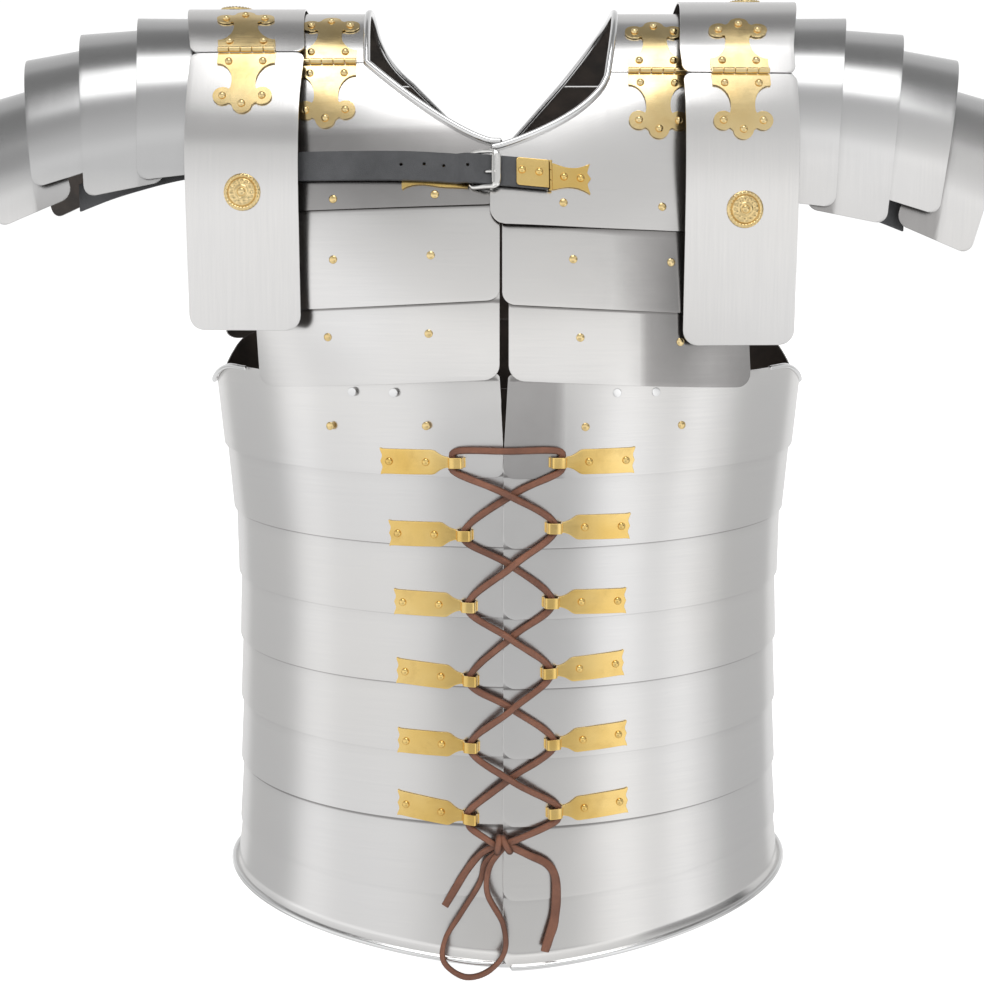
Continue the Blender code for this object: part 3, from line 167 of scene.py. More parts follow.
# Each guard: how much higher it sits, and lengths along it from the crest to the hinge pin, to the end
# of its front leaf and, backwards, to the end of its top leaf.
GUARDS = {
    "left": {"raise": 0.000, "pin": 0.0912, "front_end": 0.2838, "back_end": 0.200},
    "right": {"raise": 0.005, "pin": 0.1150, "front_end": 0.2986, "back_end": 0.205},
}
LEAF_OUTER_CORNER = 0.010
LEAF_HINGE_CORNER = 0.006

# Height at which each collar plate meets its breastplate, and both back plates.
JOINT_FRONT = {"left": -0.0410, "right": -0.0475}
JOINT_BACK = -0.0410
COLLAR_OUT = 0.153       # outer edge of the collar plates
NECK_HALF = 0.0865       # half width of the neck opening at the crest
BACK_NECK_BOTTOM = -0.099

BREAST_STACK = 0.0022    # distance out of the right breastplate's end over the left one's
BREAST_EASE = (0.02, 0.08)       # X from which that distance grows less, and where it is nothing
# Plates of one side of the chest and back: heights of the upper and lower edges, the two inner edges in X,
# the outer edge (outwards, at the upper and at the lower edge) and the radius of the lower corners.
# RIGHT_SIZES holds what differs on the right.
PLATE_COLUMNS = "name top low left_end right_end out_top out_low corner"
CHEST_PLATES = rows_of(
    PLATE_COLUMNS,
    ("breastplate", None, -0.1360, 0.0070, -0.0013, 0.150, 0.160, 0.010),
    ("chest_plate_2", -0.126, -0.1978, 0.0050, 0.0066, 0.160, 0.160, 0.008),
    ("chest_plate_3", -0.1865, -0.2488, 0.0050, 0.0108, 0.160, 0.157, 0.010),
)
RIGHT_SIZES = {
    "breastplate": {"low": -0.1490},
    "chest_plate_2": {"low": -0.2000, "out_top": 0.165, "out_low": 0.168},
    "chest_plate_3": {"out_top": 0.172, "out_low": 0.1745},
}
BACK_PLATES = rows_of(
    PLATE_COLUMNS,
    ("upper_back_plate", None, -0.145, 0.0010, 0.0026, 0.150, 0.172, 0.010),
    ("lower_back_plate", -0.134, -0.232, 0.0012, 0.0028, 0.170, 0.200, 0.008),
)

HINGE_OUT = 0.1105       # middle of the collar hinges, outwards
HINGE_HALF = 0.0195      # half width of a lobate hinge
KNUCKLE = 0.0040         # diameter of the hinge knuckles

STRAP_WIDTH = 0.0186
STRAP_THICK = 0.0024
STRAP_TIP = -0.126
STRAP_END = 0.0358
# Middle line of the closing strap and its fittings: place in X and height.
STRAP_LINE = rows_of(
    "x height",
    (-0.130, -0.1120),
    (-0.060, -0.1124),
    (-0.015, -0.1150),
    (0.011, -0.1170),
    (0.036, -0.1190),
    (0.070, -0.1205),
)
BUCKLE_PIVOT = -0.0140   # bar of the buckle under the strap
BUCKLE_BAR = 0.0026      # bar of the buckle over the strap
BUCKLE_HALF = 0.0112
BUCKLE_WIRE = 0.0014

HOOK_REACH = 0.0568      # length of a tie hook
HOOK_MIDDLE = 0.0499     # where the lace runs through it, measured from the outer end
HOOK_TUNNEL = 0.0068     # clear height under its raised neck
# Each tie hook, top to bottom: inner end from the girdle's middle, height of the tunnel over the hoop's
# lower edge, and rise of the hook per metre outwards.
HOOK_COLUMNS = "gap low tilt"
TIE_HOOKS = {
    "left": rows_of(
        HOOK_COLUMNS, (0.0296, 0.0100, -0.02), (0.0244, 0.0083, -0.02), (0.0217, 0.0081, 0.01),
        (0.0207, 0.0051, 0.07), (0.0204, 0.0074, 0.01), (0.0209, 0.0050, 0.13)),
    "right": rows_of(
        HOOK_COLUMNS, (0.0249, 0.0110, -0.01), (0.0225, 0.0143, -0.03), (0.0210, 0.0120, -0.04),
        (0.0203, 0.0118, 0.06), (0.0230, 0.0110, 0.05), (0.0244, 0.0105, 0.06)),
}

LACE = 0.0048            # diameter of the lace
# Route of the lace from its first end to the knot, and from the knot round the loop to its other end.
# Between the two it runs up through the tie hooks, over the top and down again.
LACE_TAIL = [
    (-0.0324, -0.1385, -0.6118), (-0.0262, -0.1388, -0.6010), (-0.0195, -0.1392, -0.5894),
    (-0.0110, -0.1405, -0.5772), (-0.0020, -0.1430, -0.5690),
]
LACE_LOOP = [
    (0.0040, -0.1450, -0.5690), (-0.0050, -0.1418, -0.5800), (-0.0088, -0.1410, -0.5950),
    (-0.0215, -0.1420, -0.6160), (-0.0318, -0.1440, -0.6330), (-0.0330, -0.1485, -0.6480),
    (-0.0190, -0.1495, -0.6585), (-0.0030, -0.1500, -0.6545), (0.0085, -0.1505, -0.6400),
    (0.0075, -0.1500, -0.6200), (-0.0030, -0.1485, -0.5990), (-0.0020, -0.1475, -0.5810),
    (0.0060, -0.1465, -0.5690),
]
LACE_END = [
    (0.0110, -0.1460, -0.5660), (0.0250, -0.1445, -0.5730), (0.0375, -0.1440, -0.5795),
    (0.0432, -0.1437, -0.5890), (0.0440, -0.1437, -0.6050), (0.0425, -0.1450, -0.6200),
    (0.0390, -0.1465, -0.6320), (0.0362, -0.1475, -0.6410),
]
LACE_KNOT = {"middle": (0.0068, -0.1459, -0.5650), "wide": 0.0085, "deep": 0.0062, "tall": 0.0072}
LACE_OVER = 0.0092       # height of the upper strand over the plates where two cross
LACE_UNDER = 0.0038
LACE_CROSSING_X = 0.0128
LACE_TOP_RISE = 0.0078   # how far above the top hooks the lace runs across
# Where the lace bends above or below the tunnel of a hook, from the tunnel's middle.
LACE_BEND = {"inwards": 0.0010, "forwards": 0.0006, "above": 0.0064, "below": 0.0066}

# ---------------------------------------------------------------- sizes of what only the looks have
PLATE_STEP = 0.0035      # spacing of points on the chest and back plates
FINE_STEP = 0.0030       # spacing of points along guards, lames and sleeve straps
HOOP_STEP = 0.018        # angle between points round a hoop, in radians
HEM_STEP = 0.020         # and along its rolled hem
PLATE_CORNER = 0.008     # radius of the corners of lames and hoop ends
TOP_HOOP_ENDS = {"right": (0.0105, 0.0074), "left": (0.0052, 0.0086)}   # X at its upper and lower edge
END_LAP = 0.011          # how far a left-hand hoop end runs on under the right-hand one
NECK_RIM = 0.0023        # radius of the rolled neck edges
ARM_RIM = 0.0017
HEM_RIM = 0.0022
DOMED_RIVET = (0.0026, 0.0021)   # radius and height of the rivet heads on hinges and hooks
LOW_RIVET = (0.0028, 0.0014)     # the brass ones on plates
FLAT_RIVET = (0.0030, 0.0004)    # the steel ones
BOSS_RADIUS = 0.0122
LAID_CELL = 0.0016       # spacing of points on the thin brass plates
STRAP_STEP = 0.0022      # spacing of points along the closing strap
STRAP_CORNER = 0.006     # radius of the corners of its tip
STRAP_RUN_ON = 0.004     # how far it runs on under the left guard, beyond its solid
LACE_STEP = 0.0011       # spacing of points along the lace
SOFT_EDGE = 0.0005       # rounding of leather edges

# Rivets of one plate of a lobate hinge, across and along it: two in its foot, and one in each of the side
# lobes and in the lobe at its tip, which are round about them.
HINGE_FOOT = (0.0115, 0.0090)
HINGE_LOBE = (0.0133, 0.0365)
HINGE_TIP = (0.0, 0.0425)
HINGE_RIVETS = [(way * u, v) for u, v in (HINGE_FOOT, HINGE_LOBE) for way in (-1.0, 1.0)] + [HINGE_TIP]
# Bosses on each guard: name, length from the crest, and place across.
BOSSES = {
    "left": [("front", 0.1935, 0.0006), ("top", -0.0050, -0.0100)],
    "right": [("front", 0.2097, 0.0018), ("top", -0.0060, 0.0080)],
}
# Rivets of the chest: number of the plate, X and height.
CHEST_RIVETS = {
    "left": [(0, -0.1040, -0.1325), (0, -0.0373, -0.1300), (1, -0.1040, -0.1714), (1, -0.0398, -0.1687),
             (2, -0.1080, -0.2219), (2, -0.0411, -0.2190)],
    "right": [(0, 0.0464, -0.1357), (0, 0.1114, -0.1375), (1, 0.0528, -0.1713), (1, 0.1174, -0.1733),
              (2, 0.0574, -0.2216), (2, 0.1240, -0.2252)],
}
# Rivets of the back: number of the plate and height, each at two distances outwards.
BACK_RIVETS = [(0, -0.134), (1, -0.150), (1, -0.220)]
BACK_RIVETS_OUT = (0.040, 0.105)
GUARD_RIVET_EDGE = 0.014         # rivets at a guard's back end: distance from its edge
GUARD_RIVET_ACROSS = 0.018       # and from its middle, to each side
# Rivets of the top hoop: X and distance below its upper edge.
HOOP_STEEL_RIVETS = [(-0.0897, 0.0156), (-0.0626, 0.0148), (0.0804, 0.0146), (0.1062, 0.0153)]
HOOP_BRASS_RIVETS = [(-0.1059, 0.0395), (-0.0421, 0.0358), (0.0605, 0.0363), (0.1253, 0.0387)]
# Middle line of a tie hook: distance along it from its outer end, half width, height over the hoop.
HOOK_PATH = [
    (0.0000, 0.0090, 0.0009), (0.0008, 0.0087, 0.0009), (0.0018, 0.0085, 0.0009), (0.0035, 0.0084, 0.0009),
    (0.0060, 0.0084, 0.0009), (0.0120, 0.0084, 0.0009), (0.0200, 0.0084, 0.0009), (0.0280, 0.0083, 0.0009),
    (0.0340, 0.0083, 0.0009), (0.0356, 0.0080, 0.0009), (0.0368, 0.0074, 0.0009), (0.0382, 0.0064, 0.0009),
    (0.0398, 0.0053, 0.0009), (0.0416, 0.0044, 0.0009), (0.0434, 0.0038, 0.0009), (0.0450, 0.0036, 0.0009),
    (0.0455, 0.0036, 0.0012), (0.0459, 0.0036, 0.0024), (0.0465, 0.0036, 0.0058), (0.0471, 0.0036, 0.0069),
    (0.0480, 0.0036, 0.0074), (0.0506, 0.0036, 0.0075), (0.0536, 0.0036, 0.0074), (0.0545, 0.0036, 0.0070),
    (0.0551, 0.0036, 0.0060), (0.0555, 0.0035, 0.0022), (0.0559, 0.0034, 0.0013), (0.0566, 0.0033, 0.0010),
]
HOOK_RIVETS = [0.0060, 0.0305]
# Painted shades, kept in the same layer as the seams' grime, which darken the steel where it would mirror
# dark parts of the room or lie in shade, each with its tone from 0 to 1. A chest plate grows darker
# outwards or downwards, from one distance to another. The top hoop is dark from its right-hand end and
# grows lighter between two X. A lame grows lighter between two distances beyond the lame above.
CHEST_SHADES = {("right", 1): ("out", 0.020, 0.115), ("right", 2): ("out", 0.084, 0.104),
                ("left", 0): ("down", 0.073, 0.090)}
CHEST_TONE = 0.82
HOOP_SHADE = (0.040, 0.064)
HOOP_TONE = 0.78
LAME_SHADE = (-0.001, 0.005)
LAME_TONE = 0.85
# Holes of the strap: X and height over its middle line.
STRAP_HOLES = [(-0.0591, 0.0006), (-0.0441, 0.0014), (-0.0314, 0.0010), (-0.0157, 0.0017),
               (-0.0040, -0.0020)]
PRONG_OFFSET = -0.0020   # height of the buckle's prong over the strap's middle line
PRONG_RADIUS = 0.0010

# Half width, half thickness and twist of the lace, read along each stretch of it.
SHAPE_COLUMNS = "wide thick twist"
TAIL_SHAPE = rows_of(
    SHAPE_COLUMNS, (0.0027, 0.0013, 0.1), (0.0026, 0.0015, 0.2), (0.0022, 0.0020, 0.0))
STRAND_SHAPE = rows_of(SHAPE_COLUMNS, *((0.0023, 0.0020, twist) for twist in (0.0, 0.4, -0.2, 0.1)))
LOOP_SHAPE = rows_of(
    SHAPE_COLUMNS, (0.0022, 0.0020, 0.0), (0.0019, 0.0022, 0.1), (0.0019, 0.0022, 0.0),
    (0.0019, 0.0022, 0.1), (0.0022, 0.0020, 0.0))
END_SHAPE = rows_of(
    SHAPE_COLUMNS, (0.0024, 0.0019, 0.0), (0.0028, 0.0016, 0.5), (0.0030, 0.0014, 0.1),
    (0.0034, 0.0013, -0.3), (0.0029, 0.0014, 0.3))

# Middle line of the leather under the lames in front, from the guard outwards: place outwards, depth
# in front of the crest, and height.
SLEEVE_STRAP = rows_of(
    "out depth height",
    (0.186, 0.0790, -0.111),
    (0.215, 0.0780, -0.116),
    (0.240, 0.0740, -0.122),
    (0.262, 0.0670, -0.128),
    (0.285, 0.0600, -0.136),
)
SLEEVE_ROW = 0.025       # length along the strap that one row of SLEEVE_STRAP stands for
INNER_LEATHER_THICK = 0.0024
GIRDLE_LEATHER_WIDTH = 0.025
GIRDLE_LEATHER_OUT = 0.062       # middle of each girdle leather from the girdle's middle

ARMOUR_MIDDLE = (0.0, 0.0, -0.33)
FLOOR_HEIGHT = -0.80
FLOOR_HALF = 40.0
# Tones of the studio by elevation in degrees.
STUDIO_TONES = [(-90.0, 0.80), (-30.0, 0.80), (-10.0, 0.84), (0.0, 1.02), (12.0, 1.02), (20.0, 0.80),
                (34.0, 0.68), (50.0, 0.62), (57.0, 0.30), (90.0, 0.21)]
# Soft panels: azimuth, elevation, width, height and soft edge in degrees, and strength.
PANELS = [
    (-67.0, -15.0, 14.0, 50.0, 8.0, 0.14),
    (-35.0, -15.0, 14.0, 40.0, 10.0, 0.03),
    (37.0, -15.0, 14.0, 40.0, 8.0, 0.26),
    (61.0, -15.0, 12.0, 40.0, 8.0, 0.24),
    (-106.0, 0.0, 52.0, 80.0, 14.0, -0.26),
    (104.0, 0.0, 52.0, 80.0, 12.0, -0.28),
    (3.0, -7.0, 44.0, 12.0, 8.0, -0.34),
    (0.0, -28.0, 46.0, 44.0, 16.0, -0.12),
    (64.0, 11.0, 50.0, 24.0, 5.0, -0.62),
    (-32.0, 42.0, 34.0, 20.0, 8.0, -0.20),
    (0.0, 72.0, 30.0, 29.0, 6.0, 2.60),
]


# ---------------------------------------------------------------- reading tables and surfaces
def between(first, second, share):
    """Value at a share of the way from one to another."""
    return first + (second - first) * share


def spread(low, high, count):
    """Evenly spaced values with both ends."""
    return [low + (high - low) * i / (count - 1) for i in range(count)]


def dense(low, high, step):
    """Evenly spaced values no further apart than a step."""
    return spread(low, high, max(2, int(math.ceil((high - low) / step)) + 1))


def blend(value, low, high):
    """0 below low, 1 above high, smooth between."""
    t = min(max((value - low) / (high - low), 0.0), 1.0)
    return t * t * (3.0 - 2.0 * t)


def around(items, number):
    """The item before a place in a list, the one there and the two after it, within the list."""
    last = len(items) - 1
    return [items[min(max(number + step, 0), last)] for step in (-1, 0, 1, 2)]


def curve(p0, p1, p2, p3, t):
    """A smooth curve from p1 to p2, led by p0 and p3."""
    return p1 + 0.5 * t * (
        p2 - p0 + t * (2 * p0 - 5 * p1 + 4 * p2 - p3 + t * (3 * (p1 - p2) + p3 - p0)))


def read_row(table, place):
    """Every column of a table at a fractional row number, on smooth curves through the rows."""
    place = min(max(place, 0.0), len(table) - 1.0)
    low = min(int(place), len(table) - 2)
    rows = around(table, low)
    return {column: curve(*(row[column] for row in rows), place - low) for column in rows[1]}


def smooth_route(points, steps):
    """Points along a smooth curve through a route; steps gives where to read each stretch."""
    route = []
    for i in range(len(points) - 1):
        route += [curve(*around(points, i), t) for t in steps[i]]
    return route + [points[-1]]


def solve(function, wanted, low, high):
    """Where a steadily changing function takes the wanted value."""
    rising = function(high) > function(low)
    for _ in range(40):
        middle = 0.5 * (low + high)
        if (function(middle) < wanted) == rising:
            low = middle
        else:
            high = middle
    return 0.5 * (low + high)


def joined_profile():
    """The body profile from the foot of the back over the crest to the foot of the front."""
    behind = [dict(row, depth=-row["depth"]) for row in reversed(BACK)]
    return behind + FRONT[1:]


PROFILE = joined_profile()
CREST = len(BACK) - 1


def body(place, x):
    """Point of the body surface: the inner face of the plates where they have no lift."""
    row = read_row(PROFILE, place)
    across = min(abs(x - row["centre"]) / row["half_width"], 0.999)
    bow = (1.0 - across ** row["square"]) ** (1.0 / row["square"])
    return Vector((x, -row["depth"] * bow, row["height"] - row["droop"] * abs(x)))


def profile_height(place):
    """Height of the profile itself, with no droop."""
    return read_row(PROFILE, place)["height"]


def height_place(height, facing):
    """Place on the profile in front (facing 1) or behind (facing -1) that has this height."""
    return solve(profile_height, height, CREST, CREST + facing * 6.99)


def body_place(x, height, facing):
    """Place in front (facing 1) or behind (facing -1) where the body surface has this height."""
    end = len(PROFILE) - 1.0 if facing > 0 else 0.0
    return solve(lambda place: body(place, x).z, height, CREST + facing * 0.02, end)


def normal_at(surface, a, b):
    """Outward normal of a surface. a runs over the shoulder or down, b towards +X."""
    step = 1e-4
    along = surface(a + step, b) - surface(a - step, b)
    across = surface(a, b + step) - surface(a, b - step)
    return along.cross(across).normalized()


def spot_on(surface, a, b, lift):
    """A point over a surface, and the normal there."""
    normal = normal_at(surface, a, b)
    return surface(a, b) + normal * lift, normal


def lifted(surface, a, b, lift):
    """A point over a surface."""
    return spot_on(surface, a, b, lift)[0]


def length_places(surface, b, start, stop, steps=160):
    """(length, place) pairs along a surface at fixed b, measured from start."""
    pairs = [(0.0, start)]
    last = surface(start, b)
    for place in spread(start, stop, steps)[1:]:
        point = surface(place, b)
        pairs.append((pairs[-1][0] + (point - last).length, place))
        last = point
    return pairs


def place_at_length(pairs, length):
    """Place at a length, from a list that length_places made."""
    for (l0, p0), (l1, p1) in zip(pairs, pairs[1:]):
        if length <= l1:
            return p0 + (p1 - p0) * (length - l0) / (l1 - l0)
    return pairs[-1][1]


def corner(distance, radius):
    """How far a rounded corner draws an edge in, at a distance from the side."""
    if distance >= radius:
        return 0.0
    return radius - math.sqrt(radius ** 2 - (radius - distance) ** 2)


def corner_steps(radius):
    """Distances from a side at which a rounded corner gets points, closer together where it is steep."""
    return [radius * (1.0 - math.cos(math.radians(15.0 * i))) for i in range(6)] + [radius]


def rounded_span(start, stop, first, last):
    """Places from start to stop, closer together in the rounded corners with which it starts and stops."""
    places = [start + step for step in corner_steps(first)]
    places += dense(start + first, stop - last, FINE_STEP)[1:-1]
    return places + [stop - step for step in reversed(corner_steps(last))]


def turns_round(count):
    """Evenly spaced angles round a circle."""
    return [2.0 * math.pi * k / count for k in range(count)]


def squared(angle, power):
    """Radius of a rounded square at an angle, 1 on its axes."""
    return 1.0 / (abs(math.cos(angle)) ** power + abs(math.sin(angle)) ** power) ** (1.0 / power)


def arc(middle, radius, start, stop, steps=8):
    """Points on an arc, in degrees."""
    angles = [math.radians(a) for a in spread(start, stop, steps)]
    return [(middle[0] + radius * math.cos(a), middle[1] + radius * math.sin(a)) for a in angles]


# ---------------------------------------------------------------- meshes
def finish_mesh(name, bm, finishes, sharp=38.0, even=False):
    """Turn a bmesh into a smooth-shaded object in the scene."""
    mesh = bpy.data.meshes.new(name)
    bm.to_mesh(mesh)
    bm.free()
    mesh.shade_smooth()
    mesh.set_sharp_from_angle(angle=math.radians(sharp))
    for finish in finishes:
        mesh.materials.append(finish)
    item = bpy.data.objects.new(name, mesh)
    bpy.context.scene.collection.objects.link(item)
    if even:
        normals = item.modifiers.new("normals", "WEIGHTED_NORMAL")
        normals.keep_sharp = True
    return item


def put(item, slot, *nodes):
    """Fasten a piece to the armour and hide the solids that it stands for. slot is not used."""
    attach(item, "root")
    if nodes:
        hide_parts(*nodes)
    return item


def turn_outwards(bm):
    """Make every face of closed shapes look outwards."""
    bmesh.ops.recalc_face_normals(bm, faces=bm.faces)


def round_edges(bm, edges, size):
    """Round some edges."""
    bmesh.ops.bevel(bm, geom=edges, offset=size, offset_type="OFFSET", segments=2, profile=0.5,
                    affect="EDGES", clamp_overlap=True)


def wall(name, outer, inner, finishes, seams=None, round_edge=0.0003):
    """A closed wall between two grids of points, its edges rounded. The last finish is for the inner face.

    seams holds, for each row, how dark the outer face is there, from 0 to 1: grime in real seams, and
    painted shade.
    """
    bm = bmesh.new()
    # Per-point layer of grime and painted shade.
    grime_and_shade = bm.verts.layers.float.new("grime_and_shade")
    tops = [[bm.verts.new(point) for point in row] for row in outer]
    unders = [[bm.verts.new(point) for point in row] for row in inner]
    if seams:
        for row, values in zip(tops, seams):
            for vert, value in zip(row, values):
                vert[grime_and_shade] = value
    rows = len(outer)
    columns = len(outer[0])
    for i in range(rows - 1):
        for j in range(columns - 1):
            bm.faces.new((tops[i][j], tops[i][j + 1], tops[i + 1][j + 1], tops[i + 1][j]))
            inside = bm.faces.new((unders[i][j], unders[i + 1][j], unders[i + 1][j + 1], unders[i][j + 1]))
            inside.material_index = len(finishes) - 1
        for j in (0, columns - 1):
            bm.faces.new((tops[i][j], tops[i + 1][j], unders[i + 1][j], unders[i][j]))
    for i in (0, rows - 1):
        for j in range(columns - 1):
            bm.faces.new((tops[i][j], tops[i][j + 1], unders[i][j + 1], unders[i][j]))
    turn_outwards(bm)
    round_edges(bm, [edge for edge in bm.edges if edge.calc_face_angle(0.0) > 1.0], round_edge)
    return finish_mesh(name, bm, finishes, even=True)


def wall_on(name, surface, grid, thickness, finishes, seams=None, round_edge=0.0003):
    """A wall on a surface. grid holds rows of (a, b, lift), lift being the height of its inner face."""
    outer = []
    inner = []
    for row in grid:
        spots = [(surface(a, b), normal_at(surface, a, b), lift) for a, b, lift in row]
        outer.append([point + normal * (lift + thickness) for point, normal, lift in spots])
        inner.append([point + normal * lift for point, normal, lift in spots])
    return wall(name, outer, inner, finishes, seams, round_edge)


def steel_sheet(node, surface, grid, finishes, seams=None):
    """A steel plate on a surface, in place of its solid."""
    put(wall_on(f"{node}_sheet", surface, grid, STEEL, finishes, seams), "steel", node)


def join_rings(bm, rings, closed=False):
    """Faces from each ring of points to the next and, if closed, from the last to the first."""
    following = rings[1:] + rings[:1] if closed else rings[1:]
    for first, second in zip(rings, following):
        for k in range(len(first)):
            n = (k + 1) % len(first)
            bm.faces.new((first[k], first[n], second[n], second[k]))


def cap(bm, ring, tip):
    """Faces from a ring to a point."""
    top = bm.verts.new(tip)
    for k, vert in enumerate(ring):
        bm.faces.new((vert, ring[(k + 1) % len(ring)], top))


def add_tube(bm, points, radius, sides=12, closed=False):
    """A round tube along points, with domed ends unless it is closed."""
    count = len(points)
    side = None
    rings = []
    for i, point in enumerate(points):
        before = points[(i - 1) % count if closed else max(i - 1, 0)]
        after = points[(i + 1) % count if closed else min(i + 1, count - 1)]
        along = (after - before).normalized()
        if side is None:
            side = along.orthogonal()
        side = (side - along * side.dot(along)).normalized()
        other = along.cross(side)
        ring = [point + radius * (side * math.cos(t) + other * math.sin(t)) for t in turns_round(sides)]
        rings.append([bm.verts.new(spot) for spot in ring])
    join_rings(bm, rings, closed)
    if not closed:
        for ring, end, back in ((rings[0], points[0], points[1]), (rings[-1], points[-1], points[-2])):
            cap(bm, ring, end + (end - back).normalized() * radius * 0.6)


def rim(name, points, radius):
    """A rolled steel edge."""
    bm = bmesh.new()
    add_tube(bm, points, radius)
    turn_outwards(bm)
    put(finish_mesh(name, bm, [RIM_STEEL]), "steel")


def add_turned(bm, point, normal, profile, sides=16, wave=None):
    """A shape turned about a normal. profile holds (radius, height) from the foot to the middle."""
    side = normal.orthogonal().normalized()
    other = normal.cross(side)
    rings = []
    for radius, height in profile[:-1]:
        ring = []
        for t in turns_round(sides):
            lift = height + (wave(radius, t) if wave else 0.0)
            spot = point + side * radius * math.cos(t) + other * radius * math.sin(t)
            ring.append(bm.verts.new(spot + normal * lift))
        rings.append(ring)
    join_rings(bm, rings)
    cap(bm, rings[-1], point + normal * profile[-1][1])
    bm.faces.new(list(reversed(rings[0])))


def dome(radius, height):
    """Profile of a domed rivet head, drawn in a little at its foot."""
    foot = 0.0003
    neck = 0.88 * radius
    return [(neck, -0.0004), (neck, 0.0001), (radius, 0.00025)] + [
        (radius * math.cos(math.radians(a)), foot + (height - foot) * math.sin(math.radians(a)))
        for a in (15, 30, 45, 60, 75, 90)]


def rivets(name, spots, size, finish, slot):
    """Domed rivet heads at (point, normal) spots, as one piece."""
    bm = bmesh.new()
    for point, normal in spots:
        add_turned(bm, point, normal, dome(*size))
    put(finish_mesh(name, bm, [finish]), slot)


def laid_plate(name, outlines, spot, finish, nodes, round_edge=0.00025):
    """Thin brass plates cut to outlines in (u, v) and laid where spot(u, v) gives a point and a normal."""
    bm = bmesh.new()
    for outline in outlines:
        bm.faces.new([bm.verts.new((u, v, 0.0)) for u, v in outline])
    for axis, normal in ((0, (1, 0, 0)), (1, (0, 1, 0))):
        values = [vert.co[axis] for vert in bm.verts]
        for value in dense(min(values), max(values), LAID_CELL)[1:-1]:
            at = [0.0, 0.0, 0.0]
            at[axis] = value
            geom = bm.verts[:] + bm.edges[:] + bm.faces[:]
            bmesh.ops.bisect_plane(bm, geom=geom, dist=1e-7, plane_co=at, plane_no=normal)
    flat = bm.faces[:]
    border = [edge for edge in bm.edges if edge.is_boundary]
    spots = {vert: spot(vert.co.x, vert.co.y) for vert in bm.verts}
    low = {vert: bm.verts.new(point) for vert, (point, normal) in spots.items()}
    for vert, (point, normal) in spots.items():
        vert.co = point + normal * BRASS
    for face in flat:
        bm.faces.new([low[vert] for vert in reversed(face.verts)])
    for edge in border:
        first, second = edge.verts
        bm.faces.new((first, second, low[second], low[first]))
    turn_outwards(bm)
    bm.normal_update()
    round_edges(bm, border, round_edge)
    put(finish_mesh(name, bm, [finish], even=True), "brass", *nodes)


# ---------------------------------------------------------------- materials
def feed(tree, value, socket):
    """Link another node's output to a socket, or set a number or a colour of three numbers."""
    if isinstance(value, bpy.types.NodeSocket):
        tree.links.new(value, socket)
    elif isinstance(value, tuple):
        socket.default_value = (*value, 1.0)
    else:
        socket.default_value = value


def add_node(tree, kind, **values):
    """A shader node; values are its properties, or its inputs where it has an input of that name."""
    item = tree.nodes.new(kind)
    for name, value in values.items():
        title = name.replace("_", " ")
        if title in item.inputs:
            item.inputs[title].default_value = value
        else:
            setattr(item, name, value)
    return item


def new_material(name, colour, roughness, metallic):
    """A Principled material with its tree and shader."""
    result = bpy.data.materials.new(name)
    result.use_nodes = True
    shader = result.node_tree.nodes["Principled BSDF"]
    dress(result.node_tree, shader, Base_Color=colour, Roughness=roughness, Metallic=metallic)
    return result, result.node_tree, shader


def dress(tree, shader, bumps=(), **looks):
    """Give a shader its looks by the names of its inputs, and bumps as (height, strength, distance)."""
    for name, value in looks.items():
        feed(tree, value, shader.inputs[name.replace("_", " ")])
    last = None
    for height, strength, distance in bumps:
        bump = add_node(tree, "ShaderNodeBump", Strength=strength, Distance=distance)
        tree.links.new(height, bump.inputs["Height"])
        if last:
            tree.links.new(last, bump.inputs["Normal"])
        last = bump.outputs["Normal"]
    if last:
        tree.links.new(last, shader.inputs["Normal"])


def noise_of(tree, scale, detail=4.0, rough=0.55, stretch=(1.0, 1.0, 1.0)):
    """Noise in object coordinates, stretched along the axes."""
    place = add_node(tree, "ShaderNodeTexCoord")
    mapping = add_node(tree, "ShaderNodeMapping", Scale=stretch)
    tree.links.new(place.outputs["Object"], mapping.inputs["Vector"])
    item = add_node(tree, "ShaderNodeTexNoise", Scale=scale, Detail=detail, Roughness=rough)
    tree.links.new(mapping.outputs["Vector"], item.inputs["Vector"])
    return item.outputs["Fac"]


def ranged(tree, value, low, high, from_low=0.3, from_high=0.7, kind="LINEAR"):
    """A value mapped from one range to another, and kept within it."""
    item = add_node(tree, "ShaderNodeMapRange", From_Min=from_low, From_Max=from_high, To_Min=low,
                    To_Max=high, interpolation_type=kind)
    tree.links.new(value, item.inputs["Value"])
    return item.outputs["Result"]


def mixed(tree, factor, first, second, blend_type="MIX"):
    """Two colours mixed; either may be a constant."""
    item = add_node(tree, "ShaderNodeMix", data_type="RGBA", blend_type=blend_type)
    feed(tree, factor, item.inputs["Factor"])
    feed(tree, first, item.inputs[6])
    feed(tree, second, item.inputs[7])
    return item.outputs[2]


def calc(tree, operation, *values):
    """A number worked out from others."""
    item = add_node(tree, "ShaderNodeMath", operation=operation)
    for value, socket in zip(values, item.inputs):
        feed(tree, value, socket)
    return item.outputs[0]


def parts_of(tree, coordinates):
    """A TexCoord output split into X, Y and Z."""
    split = add_node(tree, "ShaderNodeSeparateXYZ")
    tree.links.new(coordinates, split.inputs["Vector"])
    return split.outputs


